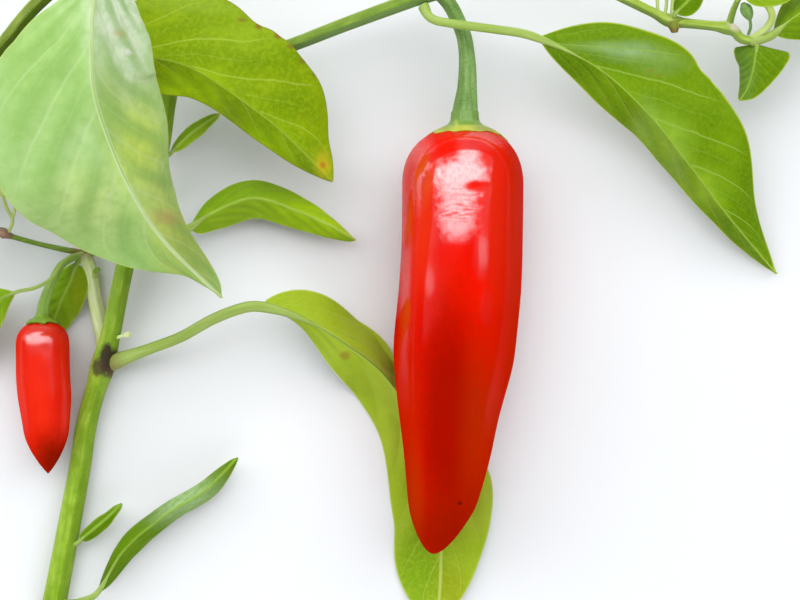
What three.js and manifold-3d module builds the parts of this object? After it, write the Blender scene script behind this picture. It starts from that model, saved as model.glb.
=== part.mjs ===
// A cut branch of a chilli pepper plant with a large and a small ripe fruit, lying on a table.
// Millimetres, x to the right, y up the branch, z up from the table.
import * as THREE from "three";
import { mergeVertices } from "three/addons/utils/BufferGeometryUtils.js";
import Module from "manifold-3d";

const wasm = await Module();
wasm.setup();

// Driving dimensions
const clearance = 0.3;
const leafThickness = 0.8;
const smallLeafThickness = 0.5;
const leafRest = 0.45;
const restBend = 0.3;
const taperBend = 0.03;
const stemRadius = 2.3;
const forkRadius = 1.4;
const branchRadius = 1.25;
const twigRadius = 0.75;
const leafStalkRadius = 0.8;
const ribRadius = 0.45;
const largeFruit = {
  radius: 11.15, shoulder: 0.15, taperFrom: 0.537, taper: 1.28, tipFrom: 0.865, tipPower: 0.55,
};
const smallFruit = {
  radius: 4.95, shoulder: 0.17, taperFrom: 0.5, taper: 0.7, tipFrom: 0.72, tipPower: 0.8,
};

// Joints of the branch, where one limb meets the next
const cutEnd = [-66.0, -60.7, 2.4];
const lowerJoint = [-55.7, -11.6, 4.0];
const fork = [-42.8, 40.0, 7.4];
const crown = [-35.6, 61.8, 15];
const fruitJoint = [6.2, 56.3, 12.6];
const endJoint = [64.7, 47.7, 11.5];
const leftJoint = [-59.6, 8.8, 3.0];
const largeFruitTop = [11.9, 32.0, 11.4];
const smallFruitTop = [-66.6, -3.8, 6.7];

// Colours
const leafGreen = 0x6f9a1c;
const paleGreen = 0xa3c86f;
const stemGreen = 0x93ad4a;
const darkGreen = 0x4f8420;
const whiteGreen = 0xd3dd98;
const fruitRed = 0xd81c06;

const plant = new THREE.Group();

function addPart(name, solid, color, roughness = 0.55) {
  const { vertProperties, triVerts } = solid.getMesh();
  const geometry = new THREE.BufferGeometry();
  geometry.setAttribute("position", new THREE.BufferAttribute(vertProperties, 3));
  geometry.setIndex(new THREE.BufferAttribute(triVerts, 1));
  const mesh = new THREE.Mesh(geometry, new THREE.MeshStandardMaterial({ color, roughness, metalness: 0 }));
  mesh.name = name;
  plant.add(mesh);
}

function toSolid(geometry) {
  geometry.deleteAttribute("normal");
  geometry.deleteAttribute("uv");
  const merged = mergeVertices(geometry, 1e-4);
  const vertProperties = new Float32Array(merged.attributes.position.array);
  const triVerts = new Uint32Array(merged.index.array);
  return new wasm.Manifold(new wasm.Mesh({ numProp: 3, vertProperties, triVerts }));
}

function curveThrough(points, grow = 0) {
  const path = points.map((point) => new THREE.Vector3(...point));
  const last = path.length - 1;
  const startWay = path[0].clone().sub(path[1]).normalize();
  const endWay = path[last].clone().sub(path[last - 1]).normalize();
  path[0].addScaledVector(startWay, grow);
  path[last].addScaledVector(endWay, grow);
  return new THREE.CatmullRomCurve3(path, false, "catmullrom", 0.5);
}

// The value somewhere along values that stand evenly spaced
function between(values, along) {
  const place = along * (values.length - 1);
  const index = Math.min(Math.floor(place), values.length - 2);
  return THREE.MathUtils.lerp(values[index], values[index + 1], place - index);
}

// A round body that follows a curve. A grown copy is wider by that much and longer at both ends.
function sweep({ points, radiusAt, sides = 8, steps = 12 }, grow = 0) {
  const curve = curveThrough(points, grow);
  const frames = curve.computeFrenetFrames(steps, false);
  const geometry = new THREE.CylinderGeometry(1, 1, 1, sides, steps);
  const corner = geometry.attributes.position;
  for (let i = 0; i < corner.count; i += 1) {
    const along = THREE.MathUtils.clamp(corner.getY(i) + 0.5, 0, 1);
    const step = Math.round(along * steps);
    const radius = radiusAt(along) + grow;
    const place = curve.getPointAt(along);
    place.addScaledVector(frames.binormals[step], corner.getX(i) * radius);
    place.addScaledVector(frames.normals[step], corner.getZ(i) * radius);
    corner.setXYZ(i, place.x, place.y, place.z);
  }
  return toSolid(geometry);
}

// A limb with radii that stand evenly spaced along it
function limb({ points, radii, sides, steps }) {
  return { points, sides, steps, radiusAt: (along) => between(radii, along) };
}

// Radius of a fruit along its axis: a round shoulder, a straight body, a taper and a blunt tip
function fruitRadius(fruit, along) {
  const shoulder = Math.sqrt(1 - (1 - Math.min(along / fruit.shoulder, 1)) ** 2.6);
  const past = along - fruit.taperFrom;
  const taper = 1 - fruit.taper * (past + Math.hypot(past, taperBend)) / 2;
  const tipWay = Math.max(0, (along - fruit.tipFrom) / (1 - fruit.tipFrom));
  const tip = (1 - Math.min(tipWay, 1) ** 1.8) ** fruit.tipPower;
  return Math.max(0.35, fruit.radius * shoulder * taper * tip);
}

// The cap that spreads over a fruit's shoulder, before the fruit is cut out of it
function calyx(top, spread, collar, drop) {
  const outline = [
    [0, -0.4 * spread], [0.85 * spread, -0.4 * spread], [1.03 * spread, -drop - 0.4], [spread, -drop],
    [0.6 * spread, 0.08 * spread], [1.15 * collar, 0.2 * spread], [collar, 0.4 * spread], [0, 0.4 * spread],
  ];
  const geometry = new THREE.LatheGeometry(outline.map((point) => new THREE.Vector2(...point)), 14);
  geometry.translate(...top);
  return toSolid(geometry);
}

// Half-width of a blade: nothing at both ends and its full width at the peak
function halfWidth({ width, peak, fullness }, along) {
  const base = Math.max(along, 0) / peak;
  const tip = Math.max(1 - along, 0) / (1 - peak);
  return Math.max(0.35, width * (base ** peak * tip ** (1 - peak)) ** fullness);
}

// How far a half of the blade hangs below level, in radians, from angles evenly spaced from base to tip
function droopAt(angles, along) {
  const place = along * (angles.length - 1);
  const index = Math.min(Math.floor(place), angles.length - 2);
  const ease = THREE.MathUtils.smoothstep(place - index, 0, 1);
  return THREE.MathUtils.degToRad(THREE.MathUtils.lerp(angles[index], angles[index + 1], ease));
}

// A point of the blade, with across running from -1 at the left margin to 1 at the right one.
// What would sink below the table bends and lies flat on it.
function bladePoint(leaf, rib, across, along) {
  const way = rib.getTangentAt(along);
  const right = new THREE.Vector3().crossVectors(way, new THREE.Vector3(0, 0, 1)).normalize();
  const up = new THREE.Vector3().crossVectors(right, way);
  const half = across < 0 ? leaf.left : leaf.right;
  const reach = Math.abs(across) * halfWidth(half, along);
  const droop = droopAt(half.droop, along);
  const wave = leaf.ripple * Math.sin(2 * Math.PI * leaf.waves * along + 2 * across) * across * across;
  const place = rib.getPointAt(along);
  place.addScaledVector(right, Math.sign(across) * reach * Math.cos(droop));
  place.addScaledVector(up, wave - reach * Math.sin(droop));
  const above = place.z - leafRest;
  place.z = leafRest + (above + Math.sqrt(above * above + restBend)) / 2;
  return place;
}

function blade(leaf, rib, thickness) {
  const geometry = new THREE.BoxGeometry(1, 1, 1, leaf.acrossSteps, leaf.alongSteps, 1);
  const corner = geometry.attributes.position;
  const step = 0.01;
  for (let i = 0; i < corner.count; i += 1) {
    const across = 2 * corner.getX(i);
    const along = THREE.MathUtils.clamp(corner.getY(i) + 0.5, 0, 1);
    const acrossWay = bladePoint(leaf, rib, across + step, along);
    acrossWay.sub(bladePoint(leaf, rib, across - step, along));
    const alongWay = bladePoint(leaf, rib, across, Math.min(along + step, 1));
    alongWay.sub(bladePoint(leaf, rib, across, Math.max(along - step, 0)));
    const outward = acrossWay.cross(alongWay).normalize();
    const place = bladePoint(leaf, rib, across, along);
    place.addScaledVector(outward, corner.getZ(i) * thickness);
    corner.setXYZ(i, place.x, place.y, place.z);
  }
  return toSolid(geometry);
}

// A leaf: its stalk, which runs a little way up the midrib, fused with its blade
function leafSolid(leaf, grow = 0) {
  const rib = curveThrough(leaf.rib);
  const ribStart = [0.05, 0.15, 0.3].map((along) => rib.getPointAt(along).toArray());
  const stalk = limb({
    points: [...leaf.stalk, ...ribStart], radii: [leaf.stalkRadius, leaf.stalkRadius, ribRadius],
    sides: 6, steps: 10,
  });
  return blade(leaf, rib, leaf.thickness + 2 * grow).add(sweep(stalk, grow));
}

const grown = (shape) => (shape.rib ? leafSolid(shape, clearance) : sweep(shape, clearance));

// The largest piece of a solid once the grown shapes beside it are cut away
function clearOf(solid, neighbours) {
  const rest = neighbours.reduce((left, shape) => left.subtract(grown(shape)), solid);
  return rest.decompose().sort((a, b) => b.volume() - a.volume())[0];
}

// Limbs, each from one joint to the next
const mainStem = limb({
  points: [cutEnd, [-60.9, -33.9, 2.5], [-59.0, -22.6, 2.8], lowerJoint, [-54.2, -6.2, 4.8],
    [-51.3, 7.1, 5.4], [-47.9, 17.7, 6], [-44.6, 27.9, 6.6], fork],
  radii: [stemRadius, 0.5 * (stemRadius + forkRadius), forkRadius], sides: 10, steps: 20,
});
const upperStem = limb({
  points: [fork, [-41.0, 48.0, 8.6], [-38.5, 55.9, 11], crown],
  radii: [forkRadius - 0.1, branchRadius + 0.15], steps: 8,
});
const rightBranch = limb({
  points: [fork, [-32.3, 43, 8.8], [-20.2, 46.9, 10], [-9.2, 50.9, 11.3], fruitJoint],
  radii: [branchRadius, branchRadius, branchRadius + 0.15], steps: 10,
});
const outerBranch = limb({
  points: [fruitJoint, [12.7, 59.5, 14], [23.5, 61.1, 15], [34.4, 57.6, 14.5], [45.4, 52.7, 13.6],
    [49.7, 50.9, 13], [59.9, 49.8, 12], endJoint],
  radii: [branchRadius - 0.05, 0.9, twigRadius + 0.1], steps: 18,
});
const cornerBranch = limb({
  points: [crown, [-43.2, 64.6, 22], [-51.7, 60.3, 29], [-60.9, 50.7, 34.5], [-67.4, 43, 35],
    [-73, 37.3, 33], [-78.1, 33.9, 28]],
  radii: [branchRadius + 0.15, branchRadius + 0.1, twigRadius + 0.1], steps: 16,
});
const leftBranch = limb({
  points: [[-55.7, -12.5, 1.8], [-56.4, -6.6, 1.6], [-57.9, 0.9, 1.7], [-58.6, 5.7, 2.2], leftJoint],
  radii: [1.5, 1.35, 1.2], steps: 8,
});
const leftTwig = limb({
  points: [leftJoint, [-62.8, 9.4, 4.2], [-67.3, 10.4, 5], [-72.3, 11.8, 6], [-74.8, 12.8, 6.4]],
  radii: [0.55, 0.45, 0.55], sides: 6, steps: 8,
});
const scarStub = limb({
  points: [[49.7, 50.9, 13], [49.9, 49.7, 13], [49.9, 48.8, 13]], radii: [0.75, 0.6], sides: 6, steps: 2,
});
const largeStalk = limb({
  points: [[6.6, 56.8, 12.6], [9, 54.3, 11.8], [10.7, 51.3, 11], [11.9, 48, 11], [12.4, 43.9, 11.2],
    [12.4, 39.3, 11.3], [12.1, 35.1, 11.4], largeFruitTop],
  radii: [1.3, 1.3, 1.4, 1.75, 2.5], sides: 10, steps: 14,
});
const smallStalk = limb({
  points: [leftJoint, [-62.9, 6.7, 6], [-64.6, 3.5, 7], [-66.1, -0.4, 7], smallFruitTop],
  radii: [0.55, 0.8, 1.2], sides: 8, steps: 10,
});

// Fruits, each on an axis from its stalk to its tip
const largeBody = {
  points: [largeFruitTop, [11.7, 22, 11.4], [11.5, 12.8, 11.4], [11, 1.8, 11.4], [10.2, -7.3, 11.4],
    [9.2, -18.3, 11.4], [8.7, -27.4, 11.3], [8.2, -34.8, 11], [7.5, -39.4, 10.8], [6.2, -46.7, 10.2]],
  radiusAt: (along) => fruitRadius(largeFruit, along), sides: 20, steps: 26,
};
const smallBody = {
  points: [smallFruitTop, [-66.4, -13.9, 6.7], [-66.1, -19, 6.6], [-65.7, -28.5, 6.4], [-65.6, -32.3, 6.3]],
  radiusAt: (along) => fruitRadius(smallFruit, along), sides: 14, steps: 14,
};

addPart("main_stem", sweep(mainStem), stemGreen);
addPart("upper_stem", clearOf(sweep(upperStem), [mainStem]), stemGreen);
addPart("right_branch", clearOf(sweep(rightBranch), [mainStem, upperStem]), stemGreen);
addPart("outer_branch", clearOf(sweep(outerBranch).add(sweep(scarStub)), [rightBranch]), stemGreen);
addPart("corner_branch", clearOf(sweep(cornerBranch), [upperStem]), stemGreen);
addPart("left_branch", clearOf(sweep(leftBranch), [mainStem]), whiteGreen);
addPart("left_twig", clearOf(sweep(leftTwig), [leftBranch]), stemGreen);
const largeStalkSolid = sweep(largeStalk).add(calyx(largeFruitTop, 6.3, 2.5, 0.95));
addPart("large_fruit_stalk", clearOf(largeStalkSolid, [rightBranch, outerBranch, largeBody]), darkGreen);
const smallStalkSolid = sweep(smallStalk).add(calyx(smallFruitTop, 2.9, 1.2, 0.15));
addPart("small_fruit_stalk", clearOf(smallStalkSolid, [leftBranch, leftTwig, smallBody]), darkGreen);
addPart("large_fruit", sweep(largeBody), fruitRed, 0.2);
addPart("small_fruit", sweep(smallBody), fruitRed, 0.25);

// Leaves. Each starts inside the limb that carries it and is cut clear of the shapes it is beside.
function addLeaf(spec) {
  const leaf = {
    color: leafGreen, thickness: leafThickness, stalkRadius: leafStalkRadius, ripple: 0.3, waves: 2.5,
    acrossSteps: 4, alongSteps: 12, ...spec,
  };
  addPart(leaf.name, clearOf(leafSolid(leaf), leaf.beside), leaf.color);
  return leaf;
}

addLeaf({
  name: "front_leaf", color: paleGreen, beside: [cornerBranch], acrossSteps: 6, alongSteps: 14,
  ripple: 0.5, stalkRadius: 0.95,
  stalk: [[-51, 60.8, 29], [-49.7, 60.6, 37], [-49.3, 59, 41]],
  rib: [[-49.4, 56.3, 43], [-49.9, 48.7, 45], [-50.2, 42.2, 45], [-49.8, 32.7, 43.5], [-46, 20.1, 37],
    [-40.8, 10.3, 29], [-31.7, 0.4, 20]],
  right: { width: 19.5, peak: 0.43, fullness: 3.2, droop: [28, 5, -10, 25, 20] },
  left: { width: 16.5, peak: 0.43, fullness: 0.8, droop: [60, 57, 72] },
});
addLeaf({
  name: "middle_leaf", beside: [mainStem], acrossSteps: 6,
  stalk: [[-44.1, 34.5, 6.8], [-49, 35.5, 11], [-55.5, 37.2, 16.5], [-57.6, 39.5, 19.3]],
  rib: [[-56, 41.6, 20.5], [-50.4, 42.9, 21.3], [-44.1, 42.9, 22], [-36.6, 40.9, 22.5], [-28, 35.4, 21],
    [-20.8, 29.9, 18], [-12.4, 21.6, 13]],
  right: { width: 8.6, peak: 0.44, fullness: 1.4, droop: [24, 63, 44] },
  left: { width: 14.8, peak: 0.48, fullness: 1.6, droop: [0, 14, 28] },
});
addLeaf({
  name: "right_leaf", beside: [rightBranch, outerBranch, largeStalk], acrossSteps: 6,
  stalk: [[4.4, 53.6, 12.4], [5.2, 51.7, 13.6], [6.5, 50.7, 14.6], [8.3, 50.2, 15.2], [12.6, 49.5, 15.6],
    [17.5, 48.9, 15.4], [22.6, 48.2, 14.8]],
  rib: [[25.3, 47.6, 14.6], [36.1, 41.8, 15.5], [45, 33.8, 15], [52, 25.7, 13], [60.8, 15.5, 8.5],
    [71.3, 5, 1.3]],
  right: { width: 7.4, peak: 0.45, fullness: 1.7, droop: [36, 68, 62] },
  left: { width: 12.8, peak: 0.42, fullness: 2.1, droop: [0, 5, 25] },
});
addLeaf({
  name: "lower_leaf", beside: [mainStem], acrossSteps: 6, alongSteps: 14, ripple: 0.2, stalkRadius: 1,
  stalk: [[-55.7, -12, 3.8], [-52, -10.9, 4.6], [-46.6, -9, 6], [-40.7, -6.8, 8], [-34.9, -3.7, 10],
    [-30.2, -1.8, 11], [-26.6, -1.1, 11]],
  rib: [[-25.3, -0.9, 11], [-17.4, -3.7, 10.4], [-10.1, -8.1, 9], [-2.8, -14.1, 6.5], [3.8, -24.5, 2.4],
    [7.6, -37.8, 1.1], [7.8, -49.2, 1.1], [7.2, -61, 1.1]],
  right: { width: 11.9, peak: 0.64, fullness: 1.6, droop: [74, 37, 48, 36, 0] },
  left: { width: 11.6, peak: 0.48, fullness: 1.3, droop: [18, 62, 85, -10, 0] },
});
addLeaf({
  name: "back_leaf", beside: [mainStem],
  stalk: [[-48.6, 14.5, 5.8], [-46.2, 12.7, 5.8], [-42.8, 12.3, 6], [-40.2, 13, 6.4]],
  rib: [[-39.4, 13.3, 6.5], [-34.3, 16.5, 7.3], [-26.8, 18.9, 8], [-18.5, 16.3, 7.4], [-12.1, 13.4, 6.2],
    [-8.4, 11.3, 4.6]],
  right: { width: 5.4, peak: 0.41, fullness: 0.9, droop: [47, 50, 46] },
  left: { width: 6.3, peak: 0.43, fullness: 2.7, droop: [36, 58, 42] },
});
addLeaf({
  name: "small_back_leaf", beside: [mainStem], alongSteps: 8, stalkRadius: 0.4,
  thickness: smallLeafThickness, ripple: 0.1,
  stalk: [[-44.7, 27.5, 6.6], [-43.9, 26.9, 6.4], [-43, 27.2, 6.2]],
  rib: [[-42.6, 27.6, 6.1], [-39.6, 30.5, 6.3], [-36.8, 32.7, 6], [-33.8, 34.9, 5]],
  right: { width: 1.5, peak: 0.45, fullness: 1.4, droop: [25, 30, 25] },
  left: { width: 1.5, peak: 0.45, fullness: 1.4, droop: [25, 30, 25] },
});
addLeaf({
  name: "drooping_leaf", beside: [leftBranch, leftTwig, smallStalk], alongSteps: 8, stalkRadius: 0.5,
  ripple: 0.1,
  stalk: [[-59.6, 8.7, 3], [-60.3, 7.7, 3.4], [-60.6, 7.1, 3.7]],
  rib: [[-60.8, 6.9, 3.8], [-61.9, 3.6, 3.8], [-63.7, 0, 3.2], [-66, -5.3, 1.2], [-67.2, -11.4, 0.6]],
  right: { width: 4.3, peak: 0.4, fullness: 1.8, droop: [20, 15, 0] },
  left: { width: 4, peak: 0.34, fullness: 1.8, droop: [20, 15, 0] },
});
addLeaf({
  name: "left_edge_leaf", beside: [leftBranch, leftTwig, smallStalk], stalkRadius: 0.5,
  stalk: [[-59.6, 8.8, 3], [-61.3, 8, 7.5], [-62.9, 6.1, 9], [-64.4, 3.9, 9.6], [-67.1, 2.3, 9.8],
    [-70.3, 1.6, 9.6]],
  rib: [[-71.1, 1.4, 9.4], [-75.3, -0.6, 8.8], [-81.7, -5.2, 7], [-88, -11.5, 3.2], [-90.5, -17, 1.2]],
  right: { width: 6.5, peak: 0.46, fullness: 2, droop: [50, 42, 20] },
  left: { width: 6.5, peak: 0.48, fullness: 2.2, droop: [20, 20, 10] },
});
addLeaf({
  name: "left_twig_leaf", beside: [leftTwig], alongSteps: 10, stalkRadius: 0.5,
  stalk: [[-74.7, 12.8, 6.4], [-76, 14.3, 7.6], [-76.9, 16, 8.6]],
  rib: [[-77.2, 16.6, 8.8], [-80, 20.6, 9.4], [-84.4, 24.4, 7.4], [-89, 27, 4]],
  right: { width: 4.6, peak: 0.4, fullness: 1.8, droop: [20, 25, 20] },
  left: { width: 4.6, peak: 0.4, fullness: 1.8, droop: [20, 25, 20] },
});
const hangingLeaf = addLeaf({
  name: "hanging_leaf", beside: [outerBranch], alongSteps: 10, stalkRadius: 0.5, ripple: 0.1,
  stalk: [[64.7, 47.7, 11.5], [65.1, 47.3, 11.9], [65.3, 47, 12]],
  rib: [[65.4, 46.7, 12], [65.1, 44.9, 12], [64.7, 42.1, 11.5], [64, 39, 10], [62.8, 36.9, 9]],
  right: { width: 5.2, peak: 0.12, fullness: 0.7, droop: [50, 62, 55] },
  left: { width: 6, peak: 0.17, fullness: 0.9, droop: [8, 12, 10] },
});
addLeaf({
  name: "end_leaf", beside: [outerBranch, hangingLeaf],
  stalk: [[64.4, 48, 11.5], [65.6, 48.9, 12.4], [66.6, 49.7, 12.9]],
  rib: [[66.9, 49.9, 13], [71.6, 53.2, 14.3], [79, 56.7, 13.5], [87.4, 60.1, 9]],
  right: { width: 6.2, peak: 0.4, fullness: 1.7, droop: [15, 25, 20] },
  left: { width: 7.2, peak: 0.42, fullness: 1.9, droop: [55, 58, 35] },
});
addLeaf({
  name: "scar_leaf", beside: [outerBranch], alongSteps: 8, stalkRadius: 0.45, ripple: 0.1,
  stalk: [[49.7, 51, 13], [49.8, 51.6, 14], [49.9, 51.9, 14.4]],
  rib: [[50, 52.1, 14.5], [52.4, 54.4, 15], [55.7, 57.9, 14]],
  right: { width: 2.6, peak: 0.38, fullness: 1.5, droop: [20, 25, 20] },
  left: { width: 2.6, peak: 0.38, fullness: 1.5, droop: [40, 40, 20] },
});
addLeaf({
  name: "corner_tip_leaf", beside: [cornerBranch], stalkRadius: 0.6,
  stalk: [[-78, 33.9, 28.2], [-79.4, 32.8, 26.8], [-80.6, 31.8, 26.6]],
  rib: [[-81, 31.4, 26.5], [-84, 28.7, 25], [-88, 23.8, 20], [-91, 18, 13]],
  right: { width: 7.5, peak: 0.4, fullness: 1.9, droop: [25, 30, 25] },
  left: { width: 7.5, peak: 0.4, fullness: 1.9, droop: [25, 30, 25] },
});
addLeaf({
  name: "corner_side_leaf", beside: [cornerBranch], stalkRadius: 0.6,
  stalk: [[-73, 37.3, 33], [-74.5, 38.6, 34.4], [-76.4, 40, 34.8]],
  rib: [[-77, 40.4, 34.8], [-81, 43.2, 34], [-86, 45.4, 30], [-91, 46.4, 23]],
  right: { width: 7.5, peak: 0.4, fullness: 1.9, droop: [25, 30, 25] },
  left: { width: 7.5, peak: 0.4, fullness: 1.9, droop: [25, 30, 25] },
});
addLeaf({
  name: "base_leaf", beside: [mainStem], stalkRadius: 0.6,
  stalk: [[-65.2, -56.9, 2.4], [-61.6, -56.9, 3.6], [-57.6, -55.6, 4.6]],
  rib: [[-56.4, -54.6, 5], [-51.3, -46.5, 6.4], [-43.7, -40.1, 6.8], [-36.4, -35.6, 5.6], [-30.6, -29.7, 3.2]],
  right: { width: 5.4, peak: 0.42, fullness: 1.2, droop: [65, 68, 60] },
  left: { width: 5, peak: 0.42, fullness: 1.2, droop: [65, 70, 60] },
});
addLeaf({
  name: "small_base_leaf", color: darkGreen, beside: [mainStem], alongSteps: 8, stalkRadius: 0.4,
  thickness: smallLeafThickness, ripple: 0.1,
  stalk: [[-63.5, -46.9, 2.4], [-61.3, -46, 3.2], [-60.5, -45.5, 3.4]],
  rib: [[-60.1, -45.1, 3.5], [-57.4, -42.9, 3.9], [-54.8, -40.7, 3.6], [-52.5, -38.4, 2.6]],
  right: { width: 1.6, peak: 0.35, fullness: 1.1, droop: [25, 30, 25] },
  left: { width: 1.3, peak: 0.35, fullness: 1.1, droop: [25, 30, 25] },
});

// A short shoot at the end of the outer branch, fused with its one small leaf
const shootStem = limb({
  points: [[60.1, 50, 12], [60.6, 52.4, 13.2], [61.2, 54.2, 14.4], [61.8, 55.3, 15.2]],
  radii: [0.6, 0.4], sides: 6, steps: 5,
});
const shootLeaf = {
  stalk: [[61.2, 54.2, 14.4], [61.8, 55.3, 15.2]], stalkRadius: 0.4, thickness: smallLeafThickness,
  ripple: 0.1, waves: 2.5,
  rib: [[62, 55.3, 15.4], [64.8, 55.3, 16.3], [69.4, 56.4, 16], [74.8, 59.2, 13.5]],
  right: { width: 2.8, peak: 0.4, fullness: 1.6, droop: [20, 20, 20] },
  left: { width: 2.8, peak: 0.4, fullness: 1.6, droop: [20, 20, 20] },
  acrossSteps: 4, alongSteps: 8,
};
addPart("end_shoot", clearOf(sweep(shootStem).add(leafSolid(shootLeaf)), [outerBranch]), leafGreen);

// The part's origin is under the middle of its outer box, on the table
const box = new THREE.Box3().setFromObject(plant);
const middle = box.getCenter(new THREE.Vector3());
plant.position.set(-middle.x, -middle.y, -box.min.z);

export default plant;
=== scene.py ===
import math

import bpy
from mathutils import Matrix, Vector, noise


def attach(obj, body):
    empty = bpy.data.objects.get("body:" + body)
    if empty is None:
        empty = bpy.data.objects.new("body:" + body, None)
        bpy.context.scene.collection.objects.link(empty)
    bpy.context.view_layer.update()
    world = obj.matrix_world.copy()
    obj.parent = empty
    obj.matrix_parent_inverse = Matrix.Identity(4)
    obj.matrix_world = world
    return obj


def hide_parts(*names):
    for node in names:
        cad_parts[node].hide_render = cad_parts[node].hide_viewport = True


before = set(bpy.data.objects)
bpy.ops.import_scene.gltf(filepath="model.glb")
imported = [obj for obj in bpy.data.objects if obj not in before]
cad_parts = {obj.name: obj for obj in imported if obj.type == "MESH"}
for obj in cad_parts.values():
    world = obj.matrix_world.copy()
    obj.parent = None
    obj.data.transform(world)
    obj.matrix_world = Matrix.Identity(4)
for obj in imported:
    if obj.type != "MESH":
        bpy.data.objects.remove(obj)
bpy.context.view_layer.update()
bpy.ops.object.select_all(action="DESELECT")

# A cut chilli pepper branch with a large and a small ripe fruit, lying on a pale table.
# Lengths are in millimetres: x to the right, y up the branch, z up from the table.
mm = 0.001
sourceShift = Vector((2.45208, -2.28580, -0.05835))    # from the branch's own axes to the frame's
lightGain = 1.32    # how much brighter than its paint a flat surface is under the lights
pathSteps = 24    # fine steps between two points of a path
wayStep = 0.006    # a path's direction is taken over this share of it, to both sides
mergeWithin = 0.002 * mm    # points of a mesh that are nearer than this become one


def inFrame(point):
    return (Vector(point) + sourceShift) * mm


def fromFrame(place):
    return place / mm - sourceShift


# The two values around a place along a list, and how far it is from the first to the second
def neighbours(values, along):
    place = along * (len(values) - 1)
    index = min(int(place), len(values) - 2)
    return values[index], values[index + 1], place - index


def between(values, along):
    first, second, part = neighbours(values, along)
    return first + (second - first) * part


def pointAt(path, along):
    first, second, part = neighbours(path, min(max(along, 0), 1))
    return first.lerp(second, part)


def wayAt(path, along):
    return (pointAt(path, along + wayStep) - pointAt(path, along - wayStep)).normalized()


def smoothStep(low, high, value):
    t = min(max((value - low) / (high - low), 0), 1)
    return t * t * (3 - 2 * t)


# 1 at the middle of a bump, next to nothing at twice its spread
def bumpAt(away, spread):
    return math.exp(-(away / spread) ** 2)


def pathLength(path):
    return sum((end - start).length for start, end in zip(path, path[1:]))


# A smooth line through points, as many evenly spaced places as asked
def smoothPath(points, places=300):
    knots = [Vector(point) for point in points]
    knots = [2 * knots[0] - knots[1]] + knots + [2 * knots[-1] - knots[-2]]
    fine = []
    for index in range(1, len(knots) - 2):
        start, end = knots[index], knots[index + 1]
        startWay = 0.5 * (end - knots[index - 1])
        endWay = 0.5 * (knots[index + 2] - start)
        for step in range(pathSteps):
            t = step / pathSteps
            fine.append(
                start * (2 * t ** 3 - 3 * t ** 2 + 1) + startWay * (t ** 3 - 2 * t ** 2 + t)
                + end * (3 * t ** 2 - 2 * t ** 3) + endWay * (t ** 3 - t ** 2)
            )
    fine.append(knots[-2])
    reached = [0]
    for start, end in zip(fine, fine[1:]):
        reached.append(reached[-1] + (end - start).length)
    even = []
    index = 0
    for place in range(places + 1):
        wanted = reached[-1] * place / places
        while index < len(fine) - 2 and reached[index + 1] < wanted:
            index += 1
        part = (wanted - reached[index]) / max(reached[index + 1] - reached[index], 1e-9)
        even.append(fine[index].lerp(fine[index + 1], part))
    return even


# A screen colour as the paint that looks like it under the lights
def paint(red, green, blue):
    linear = []
    for value in (red / 255, green / 255, blue / 255):
        linear.append(value / 12.92 if value <= 0.04045 else ((value + 0.055) / 1.055) ** 2.4)
    return (*(value / lightGain for value in linear), 1)


# Nodes. An input of a group is a number, or a vector where its value is a tuple or None.
def newGroup(name, inputs, outputs):
    group = bpy.data.node_groups.new(name, "ShaderNodeTree")
    for label, value in inputs.items():
        kind = "NodeSocketFloat" if isinstance(value, float) else "NodeSocketVector"
        socket = group.interface.new_socket(name=label, in_out="INPUT", socket_type=kind)
        if value is not None:
            socket.default_value = value
    for label in outputs:
        group.interface.new_socket(name=label, in_out="OUTPUT", socket_type="NodeSocketFloat")
    return group, group.nodes.new("NodeGroupInput").outputs


def putOut(group, **masks):
    result = group.nodes.new("NodeGroupOutput").inputs
    for label, mask in masks.items():
        group.links.new(mask, result[label])
    return group


def setInput(tree, socket, value):
    if isinstance(value, bpy.types.NodeSocket):
        tree.links.new(value, socket)
    elif value is not None:
        socket.default_value = value


def calculate(tree, operation, first, second=None):
    node = tree.nodes.new("ShaderNodeMath")
    node.operation = operation
    setInput(tree, node.inputs[0], first)
    setInput(tree, node.inputs[1], second)
    return node.outputs[0]


def times(tree, first, second):
    return calculate(tree, "MULTIPLY", first, second)


def plus(tree, first, second):
    return calculate(tree, "ADD", first, second)


def minus(tree, first, second):
    return calculate(tree, "SUBTRACT", first, second)


def vectorMath(tree, operation, first, second=None):
    node = tree.nodes.new("ShaderNodeVectorMath")
    node.operation = operation
    setInput(tree, node.inputs[0], first)
    setInput(tree, node.inputs[1], second)
    return node


def splitPlace(tree, place):
    node = tree.nodes.new("ShaderNodeSeparateXYZ")
    tree.links.new(place, node.inputs[0])
    return node.outputs


def remap(tree, value, low, high, toLow=0.0, toHigh=1.0):
    node = tree.nodes.new("ShaderNodeMapRange")
    node.interpolation_type = "SMOOTHSTEP"
    given = {"Value": value, "From Min": low, "From Max": high, "To Min": toLow, "To Max": toHigh}
    for label, setting in given.items():
        setInput(tree, node.inputs[label], setting)
    return node.outputs["Result"]


def blendColours(tree, mask, first, second):
    node = tree.nodes.new("ShaderNodeMix")
    node.data_type = "RGBA"
    setInput(tree, node.inputs[0], mask)
    setInput(tree, node.inputs[6], first)
    setInput(tree, node.inputs[7], second)
    return node.outputs[2]


def noiseOf(tree, place, scale, detail=3.0, roughness=0.55):
    node = tree.nodes.new("ShaderNodeTexNoise")
    setInput(tree, node.inputs["Vector"], place)
    setInput(tree, node.inputs["Scale"], scale)
    node.inputs["Detail"].default_value = detail
    node.inputs["Roughness"].default_value = roughness
    return node.outputs["Fac"]


def cellsOf(tree, place, scale, feature="F1"):
    node = tree.nodes.new("ShaderNodeTexVoronoi")
    node.feature = feature
    setInput(tree, node.inputs["Vector"], place)
    setInput(tree, node.inputs["Scale"], scale)
    return node.outputs


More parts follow.
